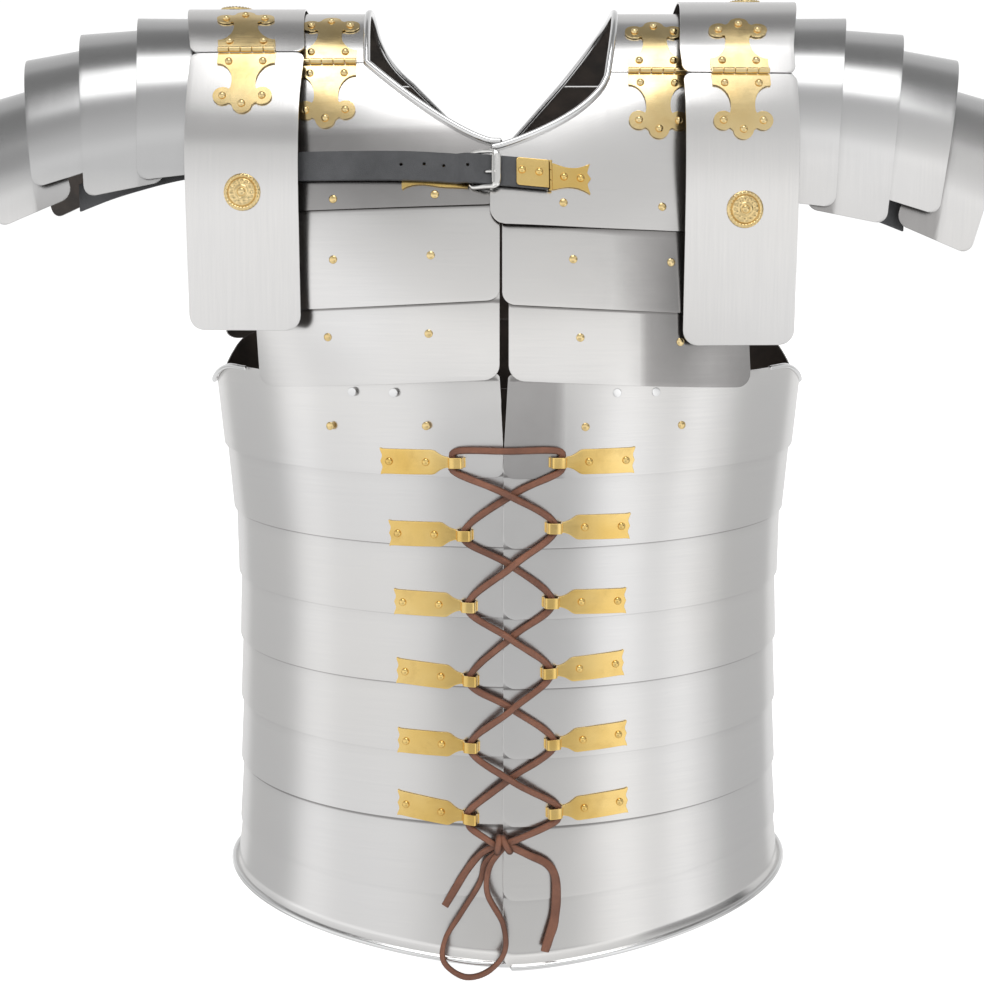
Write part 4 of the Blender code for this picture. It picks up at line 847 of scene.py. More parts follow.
def satin_steel(name, streak, upper=1.0, level=0.0):
    """Bright plate, ground along one direction, with grey grime and painted shade in its seams, and painted
    dark reflections where its darkening layer says.

    With upper under 1, the steel above a level is painted that share of its brightness: a painted shade for
    darker reflections on top.
    """
    result, tree, shader = new_material(name, (0.80, 0.80, 0.80), 0.28, 1.0)
    streaks = noise_of(tree, 1.0, 3.0, 0.6, streak)
    smears = noise_of(tree, 14.0, 5.0, 0.6)
    patches = noise_of(tree, 5.0, 2.0, 0.5)
    waves = noise_of(tree, 22.0, 1.0, 0.4)
    dirt_and_shade = add_node(tree, "ShaderNodeAttribute", attribute_name="grime_and_shade").outputs["Fac"]
    # Painted shade: where the layer is high the steel turns nearly black, a dark line under plate edges and
    # in the painted dark reflections.
    line = ranged(tree, dirt_and_shade, 0.0, 0.72, 0.55, 0.95)
    mottle = ranged(tree, noise_of(tree, 45.0, 4.0, 0.6), 0.5, 1.0)
    dirt_and_shade = calc(tree, "MULTIPLY", dirt_and_shade, mottle)
    colour = mixed(tree, ranged(tree, patches, 0.0, 1.0), (0.80, 0.785, 0.765), (0.79, 0.785, 0.785))
    colour = mixed(tree, ranged(tree, streaks, 0.0, 0.14), colour, (0.66, 0.66, 0.67))
    # Grey grime and painted shade, mottled.
    colour = mixed(tree, calc(tree, "MULTIPLY", dirt_and_shade, 0.35), colour, (0.34, 0.33, 0.33))
    colour = mixed(tree, line, colour, (0.16, 0.15, 0.145))
    # Painted shade: above the level the colour becomes a flat darker grey.
    if upper < 1.0:
        height = parts_of(tree, add_node(tree, "ShaderNodeTexCoord").outputs["Object"])["Z"]
        share = ranged(tree, height, 0.0, 1.0, level, level + 0.040)
        colour = mixed(tree, share, colour, (0.80 * upper, 0.80 * upper, 0.80 * upper))
    rough = calc(tree, "ADD", ranged(tree, smears, 0.205, 0.245), ranged(tree, streaks, -0.012, 0.012))
    rough = calc(tree, "ADD", rough, calc(tree, "MULTIPLY", dirt_and_shade, 0.015))
    bumps = [(waves, 0.06, 0.004), (streaks, 0.025, 0.0002)]
    dress(tree, shader, bumps, Base_Color=colour, Roughness=rough)
    return result


def plain_metal(name, tone, roughness, marks, rough_range, dents, bump):
    """Bright metal. One noise (marks) varies its roughness over a range, another (dents) is its bumps."""
    result, tree, shader = new_material(name, tone, roughness, 1.0)
    rough = ranged(tree, noise_of(tree, *marks), *rough_range)
    dress(tree, shader, [(noise_of(tree, dents), *bump)], Roughness=rough)
    return result


def dark_inside(name):
    """Nearly black inner face of the plates, with faint lighter spots."""
    result, tree, shader = new_material(name, (0.03, 0.025, 0.022), 0.6, 0.0)
    spots = noise_of(tree, 45.0, 6.0, 0.65)
    colour = mixed(tree, ranged(tree, spots, 0.0, 1.0), (0.016, 0.013, 0.011), (0.060, 0.045, 0.036))
    rough = ranged(tree, spots, 0.45, 0.75)
    dress(tree, shader, [(spots, 0.3, 0.0006)], Base_Color=colour, Roughness=rough)
    return result


def warm_brass(name, bright, deep):
    """Yellow brass, lightly polished, browner in its hollows and duller in patches."""
    result, tree, shader = new_material(name, (0.87, 0.58, 0.19), 0.24, 1.0)
    patches = noise_of(tree, 70.0, 4.0, 0.6)
    streaks = noise_of(tree, 1.0, 3.0, 0.6, (60.0, 60.0, 900.0))
    tone = noise_of(tree, 28.0, 2.0, 0.5)
    colour = mixed(tree, ranged(tree, tone, 0.0, 1.0), bright, deep)
    colour = mixed(tree, ranged(tree, patches, 0.0, 0.30, 0.5, 0.8), colour, (0.52, 0.30, 0.08))
    hollow = add_node(tree, "ShaderNodeNewGeometry").outputs["Pointiness"]
    colour = mixed(tree, ranged(tree, hollow, 0.75, 0.0, 0.42, 0.485), colour, (0.30, 0.17, 0.05))
    rough = calc(tree, "ADD", ranged(tree, patches, 0.13, 0.24), ranged(tree, streaks, -0.02, 0.03))
    bumps = [(tone, 0.12, 0.0015), (patches, 0.08, 0.0004), (streaks, 0.06, 0.0001)]
    dress(tree, shader, bumps, Base_Color=colour, Roughness=rough)
    return result


def grained_leather(name, colour, worn, roughness, pores, depth, rounded=0.0):
    """Leather with a pebbled grain, fine creases and lighter worn places.

    rounded is how much darker it is painted toward the edges of a cord, where its surface turns away from
    view: a painted shade.
    """
    result, tree, shader = new_material(name, colour, roughness, 0.0)
    place = add_node(tree, "ShaderNodeTexCoord")
    grain = add_node(tree, "ShaderNodeTexVoronoi", Scale=pores, feature="DISTANCE_TO_EDGE")
    tree.links.new(place.outputs["Object"], grain.inputs["Vector"])
    cells = ranged(tree, grain.outputs["Distance"], 0.0, 1.0, 0.0, 0.25)
    fine = noise_of(tree, 0.6 * pores, 6.0, 0.7)
    broad = noise_of(tree, 40.0, 4.0, 0.6)
    shade = mixed(tree, ranged(tree, broad, 0.0, 1.0), colour, worn)
    shade = mixed(tree, ranged(tree, fine, 0.35, 0.0), shade, tuple(0.35 * c for c in colour))
    # Painted shade: darker where the surface turns away from view.
    facing = add_node(tree, "ShaderNodeLayerWeight", Blend=0.5).outputs["Facing"]
    edge = ranged(tree, facing, 0.0, rounded, 0.25, 0.85)
    shade = mixed(tree, edge, shade, tuple(0.25 * c for c in colour))
    rough = ranged(tree, fine, roughness - 0.08, roughness + 0.12)
    bumps = [(broad, 0.15, 0.001), (cells, 0.30, depth), (fine, 0.25, depth)]
    dress(tree, shader, bumps, Base_Color=shade, Roughness=rough)
    return result


STREAKS_ACROSS = (22.0, 22.0, 1100.0)   # plates ground from side to side
STREAKS_ALONG = (1100.0, 22.0, 22.0)    # plates ground over the shoulder
INSIDE = dark_inside("dark_inside")
STEEL_FINISHES = [satin_steel("satin_steel_across", STREAKS_ACROSS), INSIDE]
GUARD_FINISHES = [satin_steel("satin_steel_along", STREAKS_ALONG), INSIDE]
# The lames' steel is painted darker above a height, a painted shade for the darker light their tops mirror.
LAME_FINISHES = {
    "left": [satin_steel("satin_steel_left_lames", STREAKS_ALONG, 0.70, -0.150), INSIDE],
    "right": [satin_steel("satin_steel_right_lames", STREAKS_ALONG, 0.74, -0.105), INSIDE],
}
RIM_STEEL = plain_metal("rim_steel", (0.84, 0.84, 0.84), 0.18, (60.0,), (0.12, 0.24), 120.0, (0.06, 0.0005))
BRASS_LOOK = warm_brass("warm_brass", (0.94, 0.69, 0.28), (0.85, 0.57, 0.17))
PALE_BRASS = warm_brass("pale_brass", (0.95, 0.76, 0.42), (0.88, 0.66, 0.31))
BUCKLE_LOOK = plain_metal("buckle_steel", (0.90, 0.89, 0.87), 0.14, (110.0, 5.0), (0.08, 0.26), 200.0,
                          (0.08, 0.0003))
LEATHER = grained_leather("black_strap_leather", (0.030, 0.031, 0.033), (0.050, 0.051, 0.054),
                          0.50, 900.0, 0.00012)
LEATHER_EDGE = grained_leather("strap_leather_edge", (0.018, 0.016, 0.015), (0.035, 0.030, 0.028),
                               0.75, 1400.0, 0.00015)
THONG = grained_leather("brown_thong_leather", (0.098, 0.036, 0.019), (0.180, 0.072, 0.040),
                        0.52, 1100.0, 0.00014, 0.9)


# ---------------------------------------------------------------- upper plates
def joint_height(side_name, facing):
    """Height of the joint between collar and breastplate (facing 1) or back plate (facing -1)."""
    return JOINT_FRONT[side_name] if facing > 0 else JOINT_BACK


def neck_reach(side_name, facing):
    """Half width of the neck opening at the joint, in front or behind."""
    return NECKS[side_name]["front" if facing > 0 else "back"]


def plate_lift(place, plate):
    """Lift of a chest or back plate: nothing at its upper edge, SHINGLE at its lower edge."""
    top = plate["top"] if plate["top"] is not None else JOINT_BACK
    share = (top - profile_height(place)) / (top - plate["low"])
    return SHINGLE * min(max(share, 0.0), 1.2)


def end_lift(plate, side, x):
    """Extra lift where the right breastplate lies over the left one."""
    if plate["name"] != "breastplate" or side < 0:
        return 0.0
    return BREAST_STACK * (1.0 - blend(x, *BREAST_EASE))


def sized(shared, side):
    """A plate's sizes on one side."""
    return shared | (RIGHT_SIZES.get(shared["name"], {}) if side > 0 else {})


def neck_height(side_name, out, facing):
    """Height of the neck edge at a distance outwards, in front or behind."""
    neck = NECKS[side_name]
    share = min(max(out / neck_reach(side_name, facing), 0.0), 1.0)
    if facing < 0:
        return between(BACK_NECK_BOTTOM, JOINT_BACK, share)
    rise = 1.0 - (1.0 - share ** neck["curve"]) ** neck["end"]
    return between(neck["low"], JOINT_FRONT[side_name], rise)


def plate_top(side_name, plate, facing, out):
    """Height of a plate's upper edge at a distance outwards."""
    if plate["top"] is not None:
        return plate["top"]
    joint = joint_height(side_name, facing) - AIR
    if out < neck_reach(side_name, facing):
        return min(neck_height(side_name, out, facing), joint)
    return joint


def plate_columns(plate, first, last, neck):
    """Places outwards at which a plate gets points: closer at its corners and where the neck edge ends."""
    steps = corner_steps(plate["corner"])
    inner = first + steps[-1] + 0.002
    outer = last - steps[-1] - 0.002
    columns = [first + step for step in steps] + [last - step for step in steps]
    columns += [out for out in dense(first, last, PLATE_STEP) if inner < out < outer]
    if plate["top"] is None:
        columns = [out for out in columns if abs(out - neck) > 0.0012] + [neck - 0.0004, neck + 0.0004]
    return sorted(columns)


def seam_rows(shares, edge, tall):
    """Rows of points with a few more just under the edge of the plate above, which is at a share."""
    near = [edge + step / tall for step in (-0.0004, 0.0004, 0.0012, 0.0026)]
    return sorted([share for share in shares if min(abs(share - n) for n in near) > 0.0006 / tall] + near)


def seam_grime_and_shade(below):
    """How dark a plate is where the one over it ends, grime and painted shade together: a thin dark line,
    and a faint painted shade below it.
    """
    line = blend(below, -0.0030, -0.0004) * (1.0 - blend(below, 0.0006, 0.0024))
    return 0.32 * (1.0 - blend(below, 0.0, 0.009)) + 0.68 * line


def chest_shade(side_name, number, facing, out, height):
    """Painted reflection: how dark a chest plate is painted outwards or downwards, for a dark part of the
    room it would mirror.
    """
    if facing < 0 or (side_name, number) not in CHEST_SHADES:
        return 0.0
    way, start, full = CHEST_SHADES[side_name, number]
    return CHEST_TONE * blend(out if way == "out" else -height, start, full)


def upper_plate(side_name, plates, number, facing):
    """One plate of the chest (facing 1) or back (facing -1)."""
    side = SIDES[side_name]
    plate = sized(plates[number], side)
    first = side * plate[side_name + "_end"]
    last = plate["out_low"]
    neck = neck_reach(side_name, facing)
    tall = plate_top(side_name, plate, facing, neck) - plate["low"]
    shares = spread(0.0, 1.0, int(tall / PLATE_STEP) + 3)
    edge_above = math.inf
    if number:
        edge_above = sized(plates[number - 1], side)["low"]
        shares = seam_rows(shares, (plate["top"] - edge_above) / tall, tall)
    grid = [[] for _ in shares]
    seams = [[] for _ in shares]
    for out in plate_columns(plate, first, last, neck):
        cut = corner(out - first, plate["corner"]) + corner(last - out, plate["corner"])
        high = height_place(plate_top(side_name, plate, facing, out), facing)
        low = height_place(plate["low"] + cut, facing)
        narrow = (last - plate["out_top"]) * blend(out, 0.5 * last, last)
        for i, share in enumerate(shares):
            place = between(high, low, share)
            height = profile_height(place)
            x = side * out - side * narrow * (1.0 - share)
            # Painted dark reflection on some chest plates, with grime and painted shade under the plate
            # above.
            shade = chest_shade(side_name, number, facing, out, height)
            grid[i].append((place, x, plate_lift(place, plates[number]) + end_lift(plate, side, x)))
            seams[i].append(max(seam_grime_and_shade(edge_above - height), shade))
    steel_sheet(f"{plate['name']}_{side_name}", body, grid, STEEL_FINISHES, seams)


def collar_neck(side_name, place):
    """Distance outwards of a collar plate's neck edge."""
    facing = 1 if place > CREST else -1
    share = max(profile_height(place) / joint_height(side_name, facing), 0.0)
    if facing < 0:
        share = share ** NECKS[side_name]["back_curve"]
    return between(NECK_HALF, neck_reach(side_name, facing), share)


def collar_plate(side_name):
    """Collar plate over the shoulder, from the front joint to the back joint."""
    front = height_place(joint_height(side_name, 1) + AIR, 1)
    back = height_place(joint_height(side_name, -1) + AIR, -1)
    grid = []
    for place in spread(back, front, 48):
        outs = spread(collar_neck(side_name, place), COLLAR_OUT, 18)
        grid.append([(place, SIDES[side_name] * out, 0.0) for out in outs])
    steel_sheet(f"collar_plate_{side_name}", body, grid, STEEL_FINISHES)


def neck_run(side_name, plate, facing, step, lift):
    """Points along the neck edge of a breastplate (facing 1) or back plate (facing -1)."""
    side = SIDES[side_name]
    first = side * plate[side_name + "_end"] + 0.0015
    run = []
    for out in dense(first, neck_reach(side_name, facing) - 0.0008, step):
        place = height_place(neck_height(side_name, out, facing), facing)
        extra = plate_lift(place, plate) + end_lift(plate, side, side * out) if facing > 0 else 0.0
        run.append(lifted(body, place, side * out, lift + extra))
    return run


def neck_rim(side_name):
    """Rolled edge round the neck opening, in one run over the shoulder."""
    lift = STEEL + 0.0006
    front = height_place(joint_height(side_name, 1), 1)
    back = height_place(joint_height(side_name, -1), -1)
    route = neck_run(side_name, BACK_PLATES[0], -1, 0.004, lift)
    for place in spread(back, front, 40):
        route.append(lifted(body, place, SIDES[side_name] * collar_neck(side_name, place), lift))
    route += reversed(neck_run(side_name, CHEST_PLATES[0], 1, 0.003, lift))
    rim(f"neck_rim_{side_name}", route, NECK_RIM)


# ---------------------------------------------------------------- shoulder guards and lames
def guard_surface(side_name):
    """Inner face of a guard: place along GUARD_PATH and X from the leaf's middle."""
    side = SIDES[side_name]

    def surface(place, b):
        row = read_row(GUARD_PATH, place)
        yaw = GUARD_YAW * blend(row["depth"], 0.0, 0.12) * side * b
        height = row["height"] + GUARDS[side_name]["raise"]
        return Vector((side * row["out"] + b, -row["depth"] + yaw, height))
    return surface


def guard_pairs(surface):
    """(length, place) pairs along the guard, with lengths counted from the crest, forwards positive."""
    forwards = length_places(surface, 0.0, GUARD_CREST, len(GUARD_PATH) - 1.0)
    backwards = length_places(surface, 0.0, GUARD_CREST, 0.0)
    return [(-length, place) for length, place in reversed(backwards[1:])] + forwards


def guard_leaf(side_name, name, start, stop, corner_start, corner_stop):
    """One leaf of a shoulder guard between two lengths along it, with rounded corners."""
    surface = guard_surface(side_name)
    pairs = guard_pairs(surface)
    grid = []
    for length in rounded_span(start, stop, corner_start, corner_stop):
        place = place_at_length(pairs, length)
        cut = corner(length - start, corner_start) + corner(stop - length, corner_stop)
        half = read_row(GUARD_PATH, place)["half"] - cut
        grid.append([(place, b, 0.0) for b in spread(-half, half, 21)])
    steel_sheet(f"{name}_{side_name}", surface, grid, GUARD_FINISHES)


def lame_surface(lame, side_name):
    """Inner face of a lame: length along the arch from its crest, forwards, and width towards +X."""
    side = SIDES[side_name]
    slope = math.radians(lame["slope"])
    lean = math.tan(math.radians(lame["lean"] + LAME_LEAN[side_name]))
    radius = lame["radius"]
    quarter = 0.5 * math.pi * radius

    def surface(length, b):
        wide = side * b
        own = radius + wide * math.tan(math.radians(LAME_FLARE))
        turn = max(min(length, quarter), -quarter) / radius
        leg = max(abs(length) - quarter, 0.0)
        depth = own * math.sin(turn)
        up = own * math.cos(turn) - radius - leg
        toe = LAME_TOE * (math.hypot(depth, 0.010) - 0.010)
        out = lame["out"] + wide * math.cos(slope) + up * lean - toe
        height = lame["height"] - wide * math.sin(slope) + up
        return Vector((side * out, -depth, height))
    return surface


def shoulder_lame(side_name, number, lame):
    """One curved lame over the arm, open below, with painted shade where it comes out from under the one
    above.
    """
    side = SIDES[side_name]
    quarter = 0.5 * math.pi * lame["radius"]
    front = quarter + lame["leg"] + LAME_SLIDE[side_name]
    back = -(quarter + LAME_BACK_LEG)
    half = 0.5 * LAME_WIDTH
    surface = lame_surface(lame, side_name)
    above = lame_surface(LAMES[number - 2], side_name) if number > 1 else None
    grid = []
    seams = []
    for length in rounded_span(back, front, PLATE_CORNER, PLATE_CORNER):
        cut = corner(min(front - length, length - back), PLATE_CORNER)
        line = spread(cut - half, half - cut, 21)
        grid.append([(length, b, 0.0) for b in line])
        edge = side * above(length, side * half).x if above else -math.inf
        outs = [side * surface(length, b).x - edge for b in line]
        # Painted shade, fading outwards from the edge of the lame above.
        seams.append([LAME_TONE * (1.0 - blend(out, *LAME_SHADE)) for out in outs])
    steel_sheet(f"lame_{number}_{side_name}", surface, grid, LAME_FINISHES[side_name], seams)


# ---------------------------------------------------------------- girdle
def hoop_lean(number, column):
    """How far a hoop's lower edge stands out beyond its upper edge, so that it clears the hoop above."""
    if number == 0:
        return HOOP_LEAN[column]
    growth = HOOPS[number][column] - HOOPS[number - 1][column] + STEEL + HOOP_GAP
    at_low_edge_above = growth / (1.0 - OVERLAP / HOOPS[number]["tall"])
    at_own_top = growth + hoop_lean(number - 1, column) * OVERLAP / HOOPS[number - 1]["tall"]
    return max(at_low_edge_above, at_own_top)


def end_stack(turn):
    """Distance out of a hoop near its two ends: the right-hand end lies over the left-hand one."""
    over = 1.0 - blend(turn, 0.0, END_EASE)
    under = blend(turn, 2.0 * math.pi - END_EASE, 2.0 * math.pi)
    return 0.5 * END_STACK * (over - under)


def hoop_surface(number):
    """Outer face of a hoop: metres down from its upper edge, and turn from the front towards +X."""
    hoop = HOOPS[number]
    above = HOOPS[max(number - 1, 0)]
    lean_wide = hoop_lean(number, "wide")
    lean_deep = hoop_lean(number, "deep")
    flare = RIM_FLARE if number == len(HOOPS) - 1 else 0.0

    def surface(down, turn):
        share = down / hoop["tall"]
        out = end_stack(turn) + flare * max(down - hoop["tall"] + RIM_TALL, 0.0) / RIM_TALL
        x = (hoop["wide"] + out - lean_wide * (1.0 - share)) * math.sin(turn)
        y = -(hoop["deep"] + out - lean_deep * (1.0 - share)) * math.cos(turn)
        height = hoop["low"] + hoop["tall"] - down + GIRDLE_TILT * (y + hoop["deep"])
        column = "rise_right" if x > 0 else "rise_left"
        rise = between(above[column], hoop[column], share)
        return Vector((GIRDLE_CENTRE_X + x, y, height + rise * (math.hypot(x, 0.02) - 0.02)))
    return surface


def turn_at(number, x):
    """Turn at which the front of a hoop has this X."""
    return math.asin((x - GIRDLE_CENTRE_X) / HOOPS[number]["wide"])


def hoop_ends(number, share):
    """Turns of the right-hand end and of the left-hand end, at a share of the way down."""
    if number == 0:
        right, left = (between(*TOP_HOOP_ENDS[name], share) for name in ("right", "left"))
    else:
        right, left = FRONT_SEAM_X, FRONT_SEAM_X + END_LAP
    return turn_at(number, right), 2.0 * math.pi + turn_at(number, left)


def arm_scoop(number, turn):
    """How far the top hoop is cut down: a low step in front, then the arm's hollow, steep behind."""
    if number > 0:
        return 0.0
    angle = abs(math.remainder(turn, 2.0 * math.pi)) / math.pi
    if angle > ARM_BACK_SPAN[0]:
        return ARM_SCOOP * (1.0 - blend(angle, *ARM_BACK_SPAN))
    step = ARM_STEP * blend(angle, *ARM_STEP_SPAN)
    return step + (ARM_SCOOP - ARM_STEP) * blend(angle, *ARM_FRONT_SPAN)


def hoop_rows(number):
    """Shares of the way down at which a hoop gets points, and how much of it the piece above covers."""
    hoop = HOOPS[number]
    shares = spread(0.0, 1.0, 16)
    covered = OVERLAP
    if number == len(HOOPS) - 1:
        shares = spread(0.0, 1.0 - RIM_TALL / hoop["tall"], 15) + [1.0]
    if number == 0:
        covered = hoop["low"] + hoop["tall"] - CHEST_PLATES[2]["low"]
    return seam_rows(shares, covered / hoop["tall"], hoop["tall"]), covered


def hoop_line(number, share):
    """Turns of one row of points of a hoop, each with how far the rounded ends draw the edges in."""
    right, left = hoop_ends(number, share)
    wide = HOOPS[number]["wide"]
    ends = [(step / wide, corner(step, PLATE_CORNER)) for step in corner_steps(PLATE_CORNER)]
    line = [(right + angle, cut) for angle, cut in ends]
    line += [(turn, 0.0) for turn in dense(right + ends[-1][0], left - ends[-1][0], HOOP_STEP)[1:-1]]
    return line + [(left - angle, cut) for angle, cut in reversed(ends)]


def hoop_grime_and_shade(number, surface, down, turn, covered):
    """How dark a hoop is at a point: grime and painted shade under the piece above, and a painted dark
    reflection at the top hoop's right-hand end.
    """
    dirt_and_shade = seam_grime_and_shade(down - covered) if number or math.cos(turn) > 0.6 else 0.0
    # Painted dark reflection, fading towards +X from the top hoop's right-hand end.
    if number == 0 and turn < 0.5 * math.pi:
        dirt_and_shade = max(dirt_and_shade, HOOP_TONE * (1.0 - blend(surface(down, turn).x, *HOOP_SHADE)))
    return dirt_and_shade


def girdle_hoop(number):
    """One hoop from its right-hand end round the back to its left-hand end."""
    surface = hoop_surface(number)
    shares, covered = hoop_rows(number)
    grid = []
    for share in shares:
        row = []
        for turn, cut in hoop_line(number, share):
            top = 0.5 * cut + arm_scoop(number, turn)
            row.append((top + (HOOPS[number]["tall"] - cut - top) * share, turn, -STEEL))
        grid.append(row)
    seams = [[hoop_grime_and_shade(number, surface, down, turn, covered) for down, turn, _ in row] for row in grid]
    steel_sheet(f"girdle_hoop_{number + 1}", surface, grid, STEEL_FINISHES, seams)


def arm_rims():
    """Rolled edges round the two scoops that are cut in the top hoop."""
    surface = hoop_surface(0)
    start, stop = (share * math.pi for share in ARM_RIM_SPAN)
    for name, way in (("right", 1.0), ("left", -1.0)):
        turns = [way * turn for turn in spread(start, stop, 50)]
        route = [lifted(surface, arm_scoop(0, turn) + 0.0004, turn, 0.0002) for turn in turns]
        rim(f"arm_rim_{name}", route, ARM_RIM)


def hem_rim():
    """Rolled lower edge of the girdle."""
    number = len(HOOPS) - 1
    hoop = HOOPS[number]
    right, left = hoop_ends(number, 1.0)
    inset = 0.006 / hoop["wide"]
    surface = hoop_surface(number)
    turns = dense(right + inset, left - inset, HEM_STEP)
    rim("hem_rim", [lifted(surface, hoop["tall"] - 0.0006, turn, 0.0004) for turn in turns], HEM_RIM)


# ---------------------------------------------------------------- hinges
def hinge_outline(way):
    """Outline of one hinge plate in (across, along): a wide foot, a waist and three lobes."""
    foot = [(HINGE_HALF, 0.0021), (HINGE_HALF, 0.0105)]
    quarter = arc((0.0, 0.0), 1.0, 270.0, 180.0, 9)
    waist = [(HINGE_HALF + 0.0115 * x, 0.0262 + 0.0157 * y) for x, y in quarter]
    lobe = arc(HINGE_LOBE, 0.0066, -128.0, 128.0, 18)
    tip = arc(HINGE_TIP, 0.0068, 8.0, 90.0, 8)
    half = foot + waist[1:] + [(0.0083, 0.0298)] + lobe + [(0.0080, 0.0422)] + tip
    outline = half + [(-u, v) for u, v in reversed(half[:-1])]
    return [(u, way * v) for u, v in outline]


def barrel_segments(bm, start, end, radius, count):
    """The knuckle of a hinge: short barrels in a row with thin gaps between them."""
    gap = 0.0002
    edge = 0.0003
    along = (end - start).normalized()
    size = (end - start).length / count
    long = size - 2.0 * gap
    profile = [(radius - edge, 0.0), (radius, edge), (radius, long - edge), (radius - edge, long),
               (0.0, long)]
    for i in range(count):
        add_turned(bm, start + along * (size * i + gap), along, profile, sides=18)


def lobate_hinge(node, surface, middle, pairs, pin, lift_of):
    """A hinge laid over a joint: two lobed plates, the knuckle between them and ten rivets."""
    def spot(u, v):
        place = place_at_length(pairs, pin + v)
        return spot_on(surface, place, middle + u, lift_of(place) + STEEL + AIR)

    laid_plate(f"{node}_plates", [hinge_outline(way) for way in (-1.0, 1.0)], spot, PALE_BRASS, [node])
    bm = bmesh.new()
    ends = []
    for u in (-HINGE_HALF, HINGE_HALF):
        point, normal = spot(u, 0.0)
        ends.append(point + normal * 0.5 * KNUCKLE)
    barrel_segments(bm, ends[0], ends[1], 0.5 * KNUCKLE, 5)
    for way in (-1.0, 1.0):
        for u, v in HINGE_RIVETS:
            point, normal = spot(u, way * v)
            add_turned(bm, point + normal * BRASS, normal, dome(*DOMED_RIVET))
    put(finish_mesh(f"{node}_pins", bm, [PALE_BRASS]), "brass")


def collar_hinge(side_name, facing):
    """Hinge between the collar plate and the breastplate (facing 1) or the upper back plate (-1)."""
    x = SIDES[side_name] * HINGE_OUT
    way, plate = ("front", CHEST_PLATES[0]) if facing > 0 else ("back", BACK_PLATES[0])
    pairs = length_places(body, x, CREST, CREST + facing * 5.0)
    joint = height_place(joint_height(side_name, facing), facing)
    pin = next(length for length, place in pairs if (place - joint) * facing >= 0.0)
    name = f"collar_hinge_{way}_{side_name}"
    lobate_hinge(name, body, x, pairs, pin, lambda place: plate_lift(place, plate))


def shoulder_guard(side_name):
    """Guard over the shoulder: a top leaf that runs on down the back, a front leaf, hinge and bosses."""
    pin = GUARDS[side_name]["pin"]
    top_end = -GUARDS[side_name]["back_end"]
    front_end = GUARDS[side_name]["front_end"]
    guard_leaf(side_name, "guard_top", top_end, pin - AIR, LEAF_OUTER_CORNER, LEAF_HINGE_CORNER)
    guard_leaf(side_name, "guard_front", pin + AIR, front_end, LEAF_HINGE_CORNER, LEAF_OUTER_CORNER)
    surface = guard_surface(side_name)
    pairs = guard_pairs(surface)
    lobate_hinge(f"guard_hinge_{side_name}", surface, 0.0, pairs, pin, lambda place: 0.0)
    for name, along, b in BOSSES[side_name]:
        point, normal = spot_on(surface, place_at_length(pairs, along), b, STEEL + 0.0002)
        boss(f"boss_{name}_{side_name}", point, normal)


def boss_relief(radius, turn):
    """How much the beads of a boss's border and the petals of its ring stand out."""
    share = radius / BOSS_RADIUS
    if share > 0.80:
        return 0.0005 * max(math.cos(28.0 * turn), -0.3) * (1.0 - abs(share - 0.88) / 0.08)
    if 0.42 < share < 0.72:
        return 0.0006 * abs(math.cos(6.0 * turn)) * (1.0 - abs(share - 0.57) / 0.15)
    return 0.0


def boss(name, point, normal):
    """A round ornament of pressed brass: a beaded border, a petalled ring and a rivet in the middle."""
    profile = [(BOSS_RADIUS, 0.0), (BOSS_RADIUS, 0.0007)]
    for share in spread(0.985, 0.02, 46):
        height = 0.0011 + 0.0012 * (1.0 - share ** 2)
        for middle, width, rise in ((0.88, 0.05, 0.0006), (0.76, 0.03, -0.0006), (0.34, 0.04, 0.0004)):
            height += rise * math.exp(-((share - middle) / width) ** 2)
        height += 0.0014 * math.sqrt(max(1.0 - (share / 0.22) ** 2, 0.0))
        profile.append((BOSS_RADIUS * share, height))
    profile.append((0.0, profile[-1][1]))
    bm = bmesh.new()
    add_turned(bm, point, normal, profile, sides=168, wave=boss_relief)
    put(finish_mesh(name, bm, [PALE_BRASS]), "brass")


# ---------------------------------------------------------------- rivets
def chest_rivets():
    """Low brass rivets on the chest plates."""
    for side_name, rows in CHEST_RIVETS.items():
        spots = []
        for number, x, height in rows:
            plate = CHEST_PLATES[number]
            place = body_place(x, height, 1)
            lift = plate_lift(place, plate) + end_lift(plate, SIDES[side_name], x) + STEEL
            spots.append(spot_on(body, place, x, lift))
        rivets(f"chest_rivets_{side_name}", spots, LOW_RIVET, PALE_BRASS, "brass")


def hoop_rivets():
    """Rivets on the top hoop: flat steel heads near its upper edge and brass ones below them."""
    surface = hoop_surface(0)
    for slot, rows, size, look in (("steel", HOOP_STEEL_RIVETS, FLAT_RIVET, RIM_STEEL),
                                   ("brass", HOOP_BRASS_RIVETS, LOW_RIVET, PALE_BRASS)):
        spots = [spot_on(surface, down, turn_at(0, x), 0.0) for x, down in rows]
        rivets(f"hoop_rivets_{slot}", spots, size, look, slot)


def back_rivets():
    """Rivets through each back end of the guards and on the back plates."""
    for side_name, side in SIDES.items():
        surface = guard_surface(side_name)
        place = place_at_length(guard_pairs(surface), GUARD_RIVET_EDGE - GUARDS[side_name]["back_end"])
        spots = [spot_on(surface, place, b, STEEL) for b in (-GUARD_RIVET_ACROSS, GUARD_RIVET_ACROSS)]
        for number, height in BACK_RIVETS:
            for out in BACK_RIVETS_OUT:
                place = body_place(side * out, height, -1)
                lift = plate_lift(place, BACK_PLATES[number]) + STEEL
                spots.append(spot_on(body, place, side * out, lift))
        rivets(f"back_rivets_{side_name}", spots, LOW_RIVET, PALE_BRASS, "brass")


